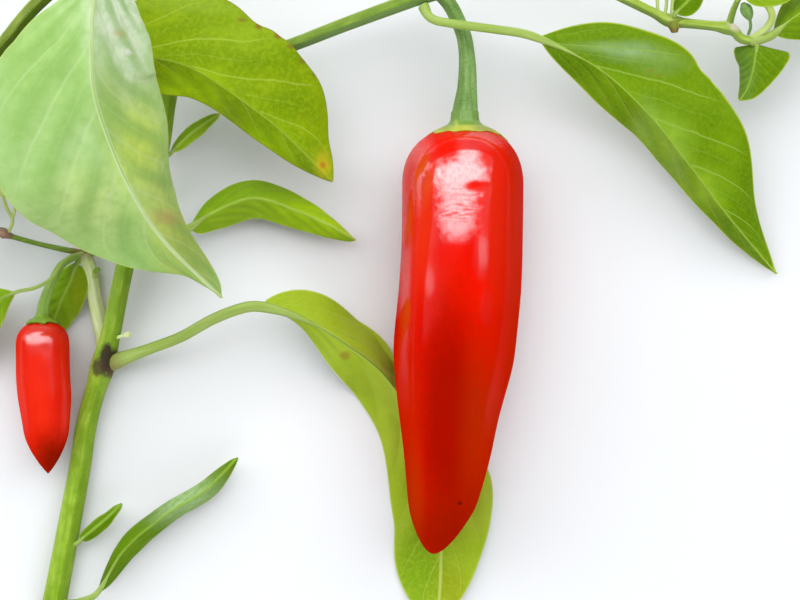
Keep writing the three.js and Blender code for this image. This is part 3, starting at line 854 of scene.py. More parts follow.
limbLooks = {
    "stem": {
        "body": (134, 172, 30), "light": (162, 194, 58), "line": (106, 144, 14), "speck": (188, 206, 104),
        "length": 110.0, "shade": (100, 136, 8), "shadeShow": 0.4, "lit": (188, 212, 90), "litShow": 0.7,
        "marks": [
            [(-54.6, -10.9, 5), (1.5, 3.0, 4), 0.9, 0.3, (50, 32, 30), 0.95],
            [(-56.2, -12.6, 5), (1.3, 1.7, 4), 0.9, 0.35, (74, 54, 44), 0.85],
            [(-57.6, -9, 4), (0.7, 2.4, 3), 0.7, 0.5, (172, 112, 92), 0.65],
            [(-53.9, -13.8, 5), (1.0, 1.1, 3), 0.9, 0.4, (84, 56, 40), 0.8],
        ],
    },
    "branch": {
        "body": (114, 146, 36), "light": (136, 166, 52), "line": (90, 122, 20), "speck": (182, 200, 104),
        "length": 50.0, "fineness": 5.0, "shade": (122, 156, 96), "lit": (196, 210, 112),
        "marks": [[(-60.2, 9.2, 3), (1.7, 1.1, 4), 0.8, 0.6, (142, 108, 70), 0.7]],
    },
    "corner": {
        "body": (112, 136, 30), "light": (146, 166, 58), "line": (80, 106, 18), "speck": (186, 196, 104),
        "length": 60.0, "fineness": 4.0, "shade": (86, 112, 16), "lit": (190, 200, 96), "litShow": 0.8,
    },
    "outer": {
        "body": (154, 180, 56), "light": (178, 198, 84), "line": (130, 160, 38), "speck": (196, 210, 116),
        "length": 70.0, "fineness": 4.0, "shade": (122, 154, 70), "lit": (206, 218, 122),
        "marks": [
            [(61.3, 50.2, 12), (1.3, 1.0, 4), 0.7, 0.6, (228, 210, 192), 0.75],
            [(49.8, 50.2, 12), (1.0, 0.7, 4), 0.7, 0.6, (160, 128, 66), 0.5],
        ],
    },
    "pale": {
        "body": (234, 243, 172), "light": (244, 249, 202), "line": (188, 212, 92), "speck": (244, 247, 212),
        "lit": (190, 214, 84), "litShow": 0.7,
        "length": 25.0, "marks": [[(-59.6, 8.8, 3), (1.8, 1.3, 4), 0.8, 0.6, (142, 108, 70), 0.7]],
    },
    "leafStalk": {
        "body": (160, 184, 82), "light": (176, 197, 104), "line": (134, 166, 56), "speck": (204, 218, 140),
        "length": 40.0, "specks": 0.15, "fineness": 4.0, "far": (118, 152, 26),
        "washes": [[(-55, -12, 4), (3, 3, 4), 0.6, 0.7, (128, 100, 52), 0.8]],
    },
    "frontStalk": {
        "body": (192, 214, 144), "light": (202, 222, 160), "line": (176, 204, 122), "speck": (216, 228, 180),
        "length": 40.0, "specks": 0.1, "far": (168, 200, 102),
    },
    "softStalk": {
        "body": (140, 178, 70), "light": (160, 194, 92), "line": (112, 152, 50), "speck": (190, 212, 130),
        "length": 14.0,
    },
    "fruitStalk": {
        "body": (112, 148, 68), "light": (134, 168, 88), "line": (78, 120, 40), "speck": (172, 202, 134),
        "length": 28.0, "specks": 0.7,
    },
    "scar": {
        "body": (128, 108, 42), "light": (156, 140, 62), "line": (100, 78, 34), "speck": (176, 150, 100),
        "length": 4.0, "washes": [[(49.9, 50.7, 13), (3, 1.1, 3), 0.7, 0.4, (150, 172, 58), 0.95]],
    },
    "node": {
        "body": (150, 112, 96), "light": (176, 140, 112), "line": (112, 76, 66), "speck": (200, 180, 150),
        "length": 6.0,
    },
    "bud": {
        "body": (186, 204, 104), "light": (206, 220, 134), "line": (156, 184, 74), "speck": (224, 232, 170),
        "length": 10.0,
    },
}
limbSkins = {label: limbMaterial(label + "Skin", look) for label, look in limbLooks.items()}


def fruitMaterial(name, look):
    material, tree, shader = newMaterial(name, 0.45, 0.0, 1.0, look["coatRoughness"])
    shader.inputs["Coat IOR"].default_value = 3.0
    place = objectPlace(tree)

    def stretched(*scale):
        mapping = tree.nodes.new("ShaderNodeMapping")
        mapping.inputs["Scale"].default_value = scale
        tree.links.new(place, mapping.inputs["Vector"])
        return mapping.outputs["Vector"]

    long = stretched(1.0, 0.12, 1.0)
    wide = cloudsOf(tree, place, 60.0, 0.35, 0.65)
    streak = cloudsOf(tree, long, 420.0, 0.4, 0.62)
    fine = noiseOf(tree, long, 900.0)
    dots = specksOf(tree, place, 240.0, 0.08, 0.1)
    colour = blendColours(tree, wide, paint(*look["body"]), paint(*look["light"]))
    colour = layOver(tree, colour, streak, 0.14, look["dark"])
    # some marks are painted light and painted shade, as the looks mark them
    colour = addBlotches(tree, place, colour, look["marks"])
    colour = layOver(tree, colour, dots, 0.4, look["speck"])
    tree.links.new(colour, shader.inputs["Base Color"])
    tree.links.new(remap(tree, fine, 0.3, 0.7, 0.36, 0.46), shader.inputs["Roughness"])
    # patches shine more or less; each is (centre, size, ragged, soft, weight), over the ones before it
    coat = look["coat"]
    for centre, size, ragged, soft, weight in look["gloss"]:
        mask = blotchOf(tree, place, centre, size, ragged, soft)
        coat = plus(tree, coat, times(tree, mask, minus(tree, weight, coat)))
    # patches of fine cross wrinkles take some of that away
    for centre, size, strength in look["wrinkles"]:
        folds = remap(tree, noiseOf(tree, stretched(0.24, 1.0, 0.5), 2300.0), 0.44, 0.6)
        folds = times(tree, folds, blotchOf(tree, place, centre, size, 0.8, 0.6))
        coat = times(tree, coat, minus(tree, 1.0, times(tree, folds, strength)))
    grain = remap(tree, noiseOf(tree, stretched(1.0, 0.5, 1.0), 2400.0), 0.36, 0.6, 0.8, 1.0)
    tree.links.new(times(tree, coat, grain), shader.inputs["Coat Weight"])
    height = plus(tree, times(tree, streak, 0.3), times(tree, fine, 0.3))
    addBump(tree, shader, height, 0.16, 0.00012)
    return material


redSkin = fruitMaterial("largeFruitSkin", {
    "body": (232, 15, 0), "light": (240, 24, 1), "dark": (196, 8, 0), "speck": (250, 70, 30),
    "marks": [
        [(11.9, 31.5, 17), (7.2, 2.2, 14), 0.7, 0.7, (176, 62, 12), 0.6],
        # an orange band down the left side, painted light
        [(3.8, 14, 16), (2.0, 10, 12), 0.5, 0.8, (250, 54, 24), 0.7],
        [(17, 15, 16), (2, 13, 12), 0.5, 0.8, (222, 46, 18), 0.6],
        # the next five are painted shade: the rims and the lower middle made darker
        [(18.6, -17, 12), (3, 23, 12), 0.4, 0.8, (190, 32, 0), 0.7],
        [(8.8, -21, 20), (5.4, 21, 12), 0.4, 0.6, (158, 13, 0), 0.9],
        [(14, -26, 18), (3, 17, 12), 0.5, 0.8, (180, 44, 0), 0.65],
        [(20.4, 16, 12), (1.6, 24, 9), 0.4, 0.8, (188, 46, 6), 0.6],
        [(1.6, -24, 12), (2.2, 18, 9), 0.4, 0.8, (196, 36, 0), 0.7],
        [(7.2, -42, 12), (7.5, 9, 12), 0.3, 1.0, (146, 24, 0), 0.8],
        # an orange band low on the left, painted light
        [(2.8, -35, 10), (1.5, 9, 9), 0.4, 0.8, (198, 58, 4), 0.6],
        [(10.8, -36.6, 18), (0.42, 0.36, 9), 0.6, 0.4, (92, 16, 4), 0.75],
    ],
    "coat": 0.05, "coatRoughness": 0.11,
    "gloss": [
        [(10.3, 15.6, 18), (3.2, 5.4, 16), 0.9, 0.4, 0.85],
        [(12.2, 26.2, 18), (1.9, 3.0, 16), 0.7, 0.5, 0.75],
        [(11.0, 21.6, 18), (4.4, 3.3, 16), 0.9, 0.4, 0.95],
        [(14.6, 20.0, 18), (3.4, 0.95, 16), 0.5, 0.3, 0.05],
        [(10.2, 8.0, 18), (5, 2.2, 16), 0.8, 0.3, 0.03],
        [(10.6, -5, 18), (6.8, 12.4, 16), 0.5, 0.4, 0.01],
        [(3.2, 23.6, 14), (2.6, 6.0, 14), 0.6, 0.7, 0.7],
        [(14.4, 28.6, 16), (3.6, 1.9, 14), 0.6, 0.6, 0.5],
        [(14.4, 7.5, 18), (1.4, 3.6, 12), 0.6, 0.5, 0.42],
        [(15.2, -1.2, 18), (1.1, 3.0, 12), 0.6, 0.5, 0.3],
        [(5.2, 3.4, 18), (0.8, 2.4, 12), 0.6, 0.6, 0.16],
        [(1.0, 13, 14), (1.2, 20, 12), 0.5, 0.6, 0.5],
        [(20.8, -17, 12), (3.2, 25, 14), 0.3, 0.7, 0.0],
        [(6, -34, 14), (16, 17, 20), 0.3, 0.3, 0.0],
    ],
    "wrinkles": [[(10, 15.6, 20), (3.6, 1.6, 10), 0.75], [(11.8, 18.6, 20), (3.2, 1.8, 10), 0.35]],
})
smallRedSkin = fruitMaterial("smallFruitSkin", {
    "body": (234, 27, 6), "light": (242, 42, 16), "dark": (206, 18, 1), "speck": (252, 90, 60),
    "marks": [[(-64.4, -30, 7), (3, 5.4, 8), 0.5, 0.8, (126, 20, 0), 0.85]],
    "coat": 0.1, "coatRoughness": 0.2, "wrinkles": [],
    "gloss": [[(-66.4, -6.9, 8), (2.3, 2.6, 8), 0.5, 0.6, 0.62], [(-65.6, -29, 8), (5, 6, 8), 0.3, 0.4, 0.0]],
})

print("stage limbs")
cutEnd = (-66.0, -60.7, 2.4)
lowerJoint = (-55.7, -11.6, 4.0)
fork = (-42.8, 40.0, 7.4)
crown = (-35.6, 61.8, 15)
fruitJoint = (6.2, 56.3, 12.6)
endJoint = (64.7, 47.7, 11.5)
leftJoint = (-59.6, 8.8, 3.0)
largeFruitTop = (11.9, 32.0, 11.4)
smallFruitTop = (-66.6, -3.8, 6.7)

limbs = {
    "main_stem": {
        "skin": "stem",
        "points": [cutEnd, (-60.9, -33.9, 2.5), (-59.0, -22.6, 2.8), lowerJoint, (-54.2, -6.2, 4.8),
                   (-51.3, 7.1, 5.4), (-47.9, 17.7, 6), (-44.6, 27.9, 6.6), fork],
        "radii": [2.25, 1.8, 1.4], "knots": [(0.48, 0.45, 3.5), (1.0, 0.3, 3)], "ridge": 0.045, "sides": 48,
    },
    "upper_stem": {
        "skin": "stem",
        "points": [fork, (-41.0, 48.0, 8.6), (-38.5, 55.9, 11), crown], "radii": [1.35, 1.4],
        "knots": [(1.0, 0.35, 2.5)],
    },
    "right_branch": {
        "skin": "branch",
        "points": [fork, (-32.3, 43, 8.8), (-20.2, 46.9, 10), (-9.2, 50.9, 11.3), fruitJoint],
        "radii": [1.22, 1.22, 1.36], "knots": [(1.0, 0.2, 2.5)], "paintedShadeWay": (0.35, -0.9, 0),
    },
    "outer_branch": {
        "skin": "outer",
        "points": [fruitJoint, (12.7, 59.5, 14), (23.5, 61.1, 15), (34.4, 57.6, 14.5), (45.4, 52.7, 13.6),
                   (49.7, 50.9, 13), (59.9, 49.8, 12), (62.4, 48.0, 11.6), (64.7, 47.5, 11.5)],
        "radii": [1.2, 0.9, 0.85], "knots": [(0.74, 0.35, 1.8), (0.91, 0.35, 1.6), (0.0, 0.25, 2)],
        "paintedShadeWay": (-0.2, -0.95, 0),
    },
    "corner_branch": {
        "skin": "corner",
        "points": [crown, (-43.2, 64.3, 22), (-51.7, 60.3, 29), (-60.9, 50.7, 34.5), (-67.4, 43, 35),
                   (-73, 37.3, 33), (-78.1, 33.9, 28)],
        "radii": [1.38, 1.32, 0.86], "paintedShadeWay": (0.65, -0.72, 0),
    },
    "left_branch": {
        "skin": "pale",
        "points": [(-55.7, -12.5, 1.9), (-56.4, -6.6, 1.7), (-57.9, 0.9, 1.7), (-58.6, 5.7, 2.2), leftJoint],
        "radii": [1.45, 1.35, 1.2], "knots": [(1.0, 0.25, 1.5)],
    },
    "left_twig": {
        "skin": "branch",
        "points": [leftJoint, (-62.8, 9.4, 4.2), (-67.3, 10.4, 5), (-72.3, 11.8, 6), (-74.8, 12.8, 6.4)],
        "radii": [0.6, 0.45, 0.5], "knots": [(0.95, 0.5, 1.2)], "sides": 20,
    },
}
made = {label: makeLimb(label, limb, limbSkins[limb["skin"]]) for label, limb in limbs.items()}

# A stub with its scar, a swollen node, a cross twig and a leaf's stub, each joined to the limb it is on
stubs = {
    "scarStub": {
        "on": "outer_branch", "skin": "scar", "radii": [1.5, 1.0, 0.6],
        "points": [(49.8, 50.8, 13), (50.0, 49.8, 13), (50.1, 48.8, 13)],
    },
    "twigNode": {
        "on": "left_twig", "skin": "node", "radii": [0.55, 1.0, 0.5],
        "points": [(-75, 12.9, 6.5), (-73.6, 12.4, 6.9), (-72.4, 11.9, 6.3)],
    },
    "crossTwig": {
        "on": "left_branch", "skin": "branch", "radii": [0.5, 0.38],
        "points": [(-59.6, 9.0, 3), (-56, 8.6, 3.8), (-52.4, 8.3, 4.6)],
    },
    "leafStub": {
        "on": "main_stem", "skin": "leafStalk", "radii": [0.5, 0.35],
        "points": [(-57.2, 4.4, 4.6), (-57, 5.4, 5.4), (-56.2, 5.8, 5.8)],
    },
}
for label, stub in stubs.items():
    joinInto(made[stub["on"]], makeLimb(label, {"sides": 20, "step": 0.2, **stub}, limbSkins[stub["skin"]]))

# Thin stalks that end in a bud: the stalk's radius, the bud's radius and the bud's length
budStalks = {
    "budFirst": {
        "on": "outer_branch", "stalk": 0.3, "bud": 0.75, "length": 2.2,
        "points": [(46.9, 52.0, 13.6), (46.7, 54, 14.6), (46.4, 57, 15), (45.8, 60.6, 14.8)],
    },
    "budSecond": {
        "on": "outer_branch", "stalk": 0.3, "bud": 0.8, "length": 2.4,
        "points": [(48.2, 51.5, 13.6), (48.3, 54, 14.8), (48.2, 57, 15.4), (47.9, 61.2, 15.2)],
    },
    "budThird": {
        "on": "outer_branch", "stalk": 0.28, "bud": 0.65, "length": 1.9,
        "points": [(49.3, 51.1, 13.6), (49.2, 53, 15.4), (49.3, 56, 16.4), (50, 60, 16.4)],
    },
    "budHook": {
        "on": "outer_branch", "stalk": 0.66, "bud": 1.15, "length": 3.0,
        "points": [(64.6, 47.9, 12), (66.8, 49.6, 13.6), (67.5, 51.6, 14.6), (66.4, 53.8, 15),
                   (65, 56.6, 14.4)],
    },
    "budDark": {
        "on": "outer_branch", "stalk": 0.28, "bud": 1.1, "length": 3.4, "skin": "fruitStalk",
        "points": [(63.7, 48.6, 12.2), (63.9, 49.8, 13.2), (63.4, 51.6, 14), (62.2, 54, 14.2)],
    },
    "budTwigOuter": {
        "on": "left_twig", "stalk": 0.32, "bud": 0.7, "length": 2.0,
        "points": [(-72.8, 12.6, 7), (-71.9, 14.9, 7.9), (-72.9, 17.3, 8.6), (-73.9, 21, 8.6)],
    },
    "budTwigInner": {
        "on": "left_twig", "stalk": 0.28, "bud": 0.6, "length": 1.8,
        "points": [(-71.9, 14.8, 7.9), (-71.3, 17.3, 8.6), (-71.4, 20.8, 8.5)],
    },
    "budStem": {
        "on": "main_stem", "stalk": 0.32, "bud": 0.6, "length": 1.8, "skin": "pale",
        "points": [(-53.4, -7.2, 5), (-52.2, -6.8, 5.8), (-50, -6.2, 6.2)],
    },
}


def makeBudStalk(name, shape):
    thinnest, step = 0.08, 0.22
    path = smoothPath(shape["points"])
    length = pathLength(path)

    def radiusAt(along):
        toTip = (1 - along) * length / shape["length"]
        if toTip > 1:
            return shape["stalk"]
        swell = math.sin(math.pi * min(1, toTip * 0.92 + 0.08)) ** 0.75
        radius = shape["stalk"] * smoothStep(0, 0.3, toTip) + (shape["bud"] - shape["stalk"]) * swell
        return max(thinnest, radius)

    skin = limbSkins[shape.get("skin", "bud")]
    return makeTube(name, path, radiusAt, evenPlaces(max(20, int(length / step))), skin, 20, 5, 0.04)


for label, shape in budStalks.items():
    joinInto(made[shape["on"]], makeBudStalk(label, shape))
for label, piece in made.items():
    finishPiece(piece, "pale_stem" if label == "left_branch" else "stem", label)


print("stage fruits")
# A fruit starts to taper, and to close at its tip, at a share of its length. A dent in its upper side is
# x, y, its size across, its size along and its depth; with a negative depth it is a ridge.
largeFruit = {
    "radius": 11.15, "shoulder": 0.15, "taperFrom": 0.537, "taper": 1.28, "tipFrom": 0.865, "tipPower": 0.55,
    "points": [largeFruitTop, (11.7, 22, 11.4), (11.5, 12.8, 11.4), (11, 1.8, 11.4), (10.2, -7.3, 11.4),
               (9.2, -18.3, 11.4), (8.7, -27.4, 11.3), (8.0, -34.8, 11), (7.2, -39.4, 10.8),
               (6.0, -46.7, 10.2)],
    "dents": [(14.4, 19.8, 2.6, 1.4, 0.12), (5.2, 19, 1.6, 4, 0.1),
              (14.9, 3.6, 1.2, 7, -0.1), (17.6, 4, 1.2, 8, 0.08)],
    "rings": 130, "sides": 120,
}
smallFruit = {
    "radius": 4.95, "shoulder": 0.17, "taperFrom": 0.5, "taper": 0.7, "tipFrom": 0.72, "tipPower": 0.8,
    "points": [smallFruitTop, (-66.4, -13.9, 6.7), (-66.1, -19, 6.6), (-65.7, -28.5, 6.4),
               (-65.6, -32.3, 6.3)],
    "dents": [(-65, -9, 0.8, 1.5, 0.1)], "rings": 70, "sides": 64,
}
shoulderPower = 2.6    # how square the shoulders are
taperBend = 0.03    # how softly the taper starts
lobes, lobe, lobeTurn = 3, 0.012, 0.8    # a fruit is faintly three-sided
unevenness = 0.22


def fruitRadius(fruit, along):
    shoulder = math.sqrt(max(0, 1 - (1 - min(along / fruit["shoulder"], 1)) ** shoulderPower))
    past = along - fruit["taperFrom"]
    taper = 1 - fruit["taper"] * (past + math.hypot(past, taperBend)) / 2
    tipWay = min(1, max(0, (along - fruit["tipFrom"]) / (1 - fruit["tipFrom"])))
    tip = (1 - tipWay ** 1.8) ** fruit["tipPower"]
    return max(0.2, fruit["radius"] * shoulder * taper * tip)


def makeFruit(name, fruit, material):
    path = smoothPath(fruit["points"])
    rings = fruit["rings"]
    places = [0.5 - 0.5 * math.cos(math.pi * index / rings) for index in range(rings + 1)]
    body = makeTube(
        name, path, lambda along: fruitRadius(fruit, along), places, material, fruit["sides"], lobes, lobe,
        lobeTurn,
    )
    axisHeight = pointAt(path, 0.4).z
    for vertex in body.data.vertices:
        place = fromFrame(vertex.co)
        if place.z > axisHeight:
            for x, y, wide, tall, depth in fruit["dents"]:
                place.z -= depth * math.exp(-((place.x - x) / wide) ** 2 - ((place.y - y) / tall) ** 2)
        soft = noise.noise(Vector((place.x * 0.16, place.y * 0.06, place.z * 0.16)))
        axis = Vector((pointAt(path, 0.5).x, place.y, axisHeight))
        place += (place - axis).normalized() * soft * unevenness * min(1, (place - axis).length / 4)
        vertex.co = inFrame(place)
    cleanMesh(body, 60)
    return body


finishPiece(makeFruit("large_fruit", largeFruit, redSkin), "fruit_skin", "large_fruit")
finishPiece(makeFruit("small_fruit", smallFruit, smallRedSkin), "fruit_skin", "small_fruit")

largeStalk = {
    "points": [(6.6, 56.8, 12.6), (9, 54.3, 11.8), (10.7, 51.3, 11), (11.9, 48, 11), (12.4, 43.9, 11.2),
               (12.4, 39.3, 11.3), (12.1, 35.1, 11.4), largeFruitTop],
    "radii": [1.3, 1.3, 1.4, 1.75, 2.6], "sides": 48, "ridge": 0.07, "step": 0.4,
}
smallStalk = {
    "points": [leftJoint, (-62.9, 6.7, 6), (-64.6, 3.5, 7), (-66.1, -0.4, 7), smallFruitTop],
    "radii": [0.55, 0.8, 1.2], "sides": 28, "step": 0.4,
}


# How far the fruit's shoulder has dropped below its top at a distance from the axis
def shoulderDrop(fruit, length, radius):
    share = min(radius / fruit["radius"], 0.98)
    return length * fruit["shoulder"] * (1 - (1 - share * share) ** (1 / shoulderPower))


def degreesBetween(first, second):
    return abs((first - second + 180) % 360 - 180)


# The cap over a fruit's shoulder: a ring carried down and out, its edge drawn into teeth that follow the
# shoulder. A ring is its radius and height over the fruit's top; a tooth or rib is its angle from the right
# and width in degrees, and its length or height.
def makeCap(name, cap, fruit, material):
    edgeFrom, dropFrom = 1.1, 1.3    # in radii of the neck
    unevenEdge = 0.6
    top = Vector(fruit["points"][0])
    fruitLength = pathLength(smoothPath(fruit["points"]))
    neck, neckHeight = cap["rings"][0]
    outer = cap["rings"][-1][0]
    bpy.ops.mesh.primitive_circle_add(
        vertices=cap["around"], radius=neck * mm, fill_type="NOTHING",
        location=inFrame(top + Vector((0, neckHeight, 0))), rotation=(math.radians(90), 0, 0),
    )
    piece = bpy.context.object
    piece.name = name
    piece.data.name = name
    bpy.ops.object.transform_apply(location=True, rotation=True, scale=True)
    bpy.ops.object.mode_set(mode="EDIT")
    bpy.ops.mesh.select_all(action="SELECT")
    for (radius, height), (nextRadius, nextHeight) in zip(cap["rings"], cap["rings"][1:]):
        bpy.ops.mesh.extrude_region_move(TRANSFORM_OT_translate={"value": (0, (nextHeight - height) * mm, 0)})
        bpy.ops.transform.resize(
            value=(nextRadius / radius, 1, nextRadius / radius),
            center_override=inFrame(top + Vector((0, nextHeight, 0))),
        )
    bpy.ops.object.mode_set(mode="OBJECT")
    for vertex in piece.data.vertices:
        place = fromFrame(vertex.co) - top
        radius = math.hypot(place.x, place.z)
        angle = math.degrees(math.atan2(place.z, place.x))
        edge = smoothStep(neck * edgeFrom, outer, radius)
        uneven = noise.noise(Vector((2.2 * place.x / radius, 2.2 * place.z / radius, 3)))
        uneven += 0.5 * noise.noise(Vector((7 * place.x / radius, 7 * place.z / radius, 9)))
        reach = radius + edge * unevenEdge * uneven
        for toothAngle, width, length in cap["teeth"]:
            reach += edge ** 2 * length * bumpAt(degreesBetween(angle, toothAngle), width)
        for ribAngle, width, height in cap["ribs"]:
            ribShare = (1 - edge) * (0.3 + 2.5 * edge)
            reach += ribShare * height * bumpAt(degreesBetween(angle, ribAngle), width)
        if radius > neck * dropFrom:
            drop = place.y + shoulderDrop(fruit, fruitLength, radius)
            place.y = drop - shoulderDrop(fruit, fruitLength, reach)
        vertex.co = inFrame(top + Vector((place.x * reach / radius, place.y, place.z * reach / radius)))
    applyModifier(piece, "SUBSURF", levels=1, render_levels=1)
    faceOutwards(piece)
    applyModifier(piece, "SOLIDIFY", thickness=cap["thickness"] * mm, offset=-1)
    piece.data.materials.append(material)
    shadeSmooth(piece)
    return piece


# A cap turns to its upper colour between two heights of the branch
def capMaterial(name, look):
    material, tree, shader = newMaterial(name, 0.42, 0.45)
    place = objectPlace(tree)
    wide = cloudsOf(tree, place, 300.0, 0.35, 0.65)
    low, high = (inFrame((0, look[end], 0)).y for end in ("from", "to"))
    upper = remap(tree, splitPlace(tree, place)["Y"], low, high)
    colour = blendColours(tree, wide, paint(*look["body"]), paint(*look["light"]))
    colour = blendColours(tree, upper, colour, paint(*look["upper"]))
    colour = layOver(tree, colour, specksOf(tree, place, 900.0, 0.3, 0.5), 0.3, look["speck"])
    # some marks are a painted highlight and a painted shade, as the looks mark them
    colour = addBlotches(tree, place, colour, look["marks"])
    tree.links.new(colour, shader.inputs["Base Color"])
    addBump(tree, shader, wide, 0.3, 0.0002)
    return material


capSkin = capMaterial("largeCapSkin", {
    "body": (176, 184, 34), "light": (202, 202, 70), "upper": (118, 156, 60), "speck": (220, 216, 130),
    "from": 31.2, "to": 32.0,
    "marks": [
        # the first mark is a painted highlight along the cap's raised rib, and the last a painted shade
        # beside it
        [(10.2, 31.7, 17), (0.4, 1.0, 8), 0.8, 0.7, (200, 208, 74), 0.65],
        [(12.4, 31.2, 17), (1.7, 0.5, 8), 0.8, 0.6, (208, 208, 96), 0.6],
        [(15.6, 31.0, 17), (2.4, 0.5, 8), 0.8, 0.6, (132, 132, 40), 0.6],
        [(8.0, 31.2, 17), (0.9, 0.6, 8), 0.8, 0.6, (126, 150, 30), 0.6],
    ],
})
smallCapSkin = capMaterial("smallCapSkin", {
    "body": (116, 156, 26), "light": (146, 180, 54), "upper": (106, 150, 44), "speck": (190, 204, 110),
    "from": -2.5, "to": -1.0, "marks": [],
})
largeCap = makeCap("largeCap", {
    "around": 90, "thickness": 0.45,
    "rings": [(2.5, 2.5), (2.55, 1.2), (2.7, 0.7), (3.1, 0.2), (3.8, -0.15), (4.6, -0.5), (5.4, -0.85),
              (6.0, -1.2), (6.4, -1.5)],
    "teeth": [(-8, 7, 1.9), (28, 9, 0.5), (60, 10, 0.25), (105, 9, 0.3), (140, 10, 0.4), (178, 8, 1.0),
              (232, 8, 1.1), (296, 8, 1.1)],
    "ribs": [(111, 7, 0.75), (178, 12, 0.25), (62, 8, 0.3), (40, 10, 0.2), (-8, 10, 0.2), (232, 10, 0.25),
             (296, 10, 0.25)],
}, largeFruit, capSkin)
smallCap = makeCap("smallCap", {
    "around": 50, "thickness": 0.35,
    "rings": [(1.15, 1.5), (1.25, 1.0), (1.5, 0.6), (2.1, 0.3), (2.6, 0.05), (2.9, -0.2)],
    "teeth": [(0, 12, 0.4), (75, 12, 0.3), (140, 12, 0.4), (215, 12, 0.4), (290, 12, 0.4)],
    "ribs": [(75, 14, 0.12), (140, 14, 0.12)],
}, smallFruit, smallCapSkin)
stalk = joinInto(makeLimb("large_fruit_stalk", largeStalk, limbSkins["fruitStalk"]), largeCap)
finishPiece(stalk, "fruit_stalk", "large_fruit_stalk")
stalk = joinInto(makeLimb("small_fruit_stalk", smallStalk, limbSkins["softStalk"]), smallCap)
finishPiece(stalk, "fruit_stalk", "small_fruit_stalk")

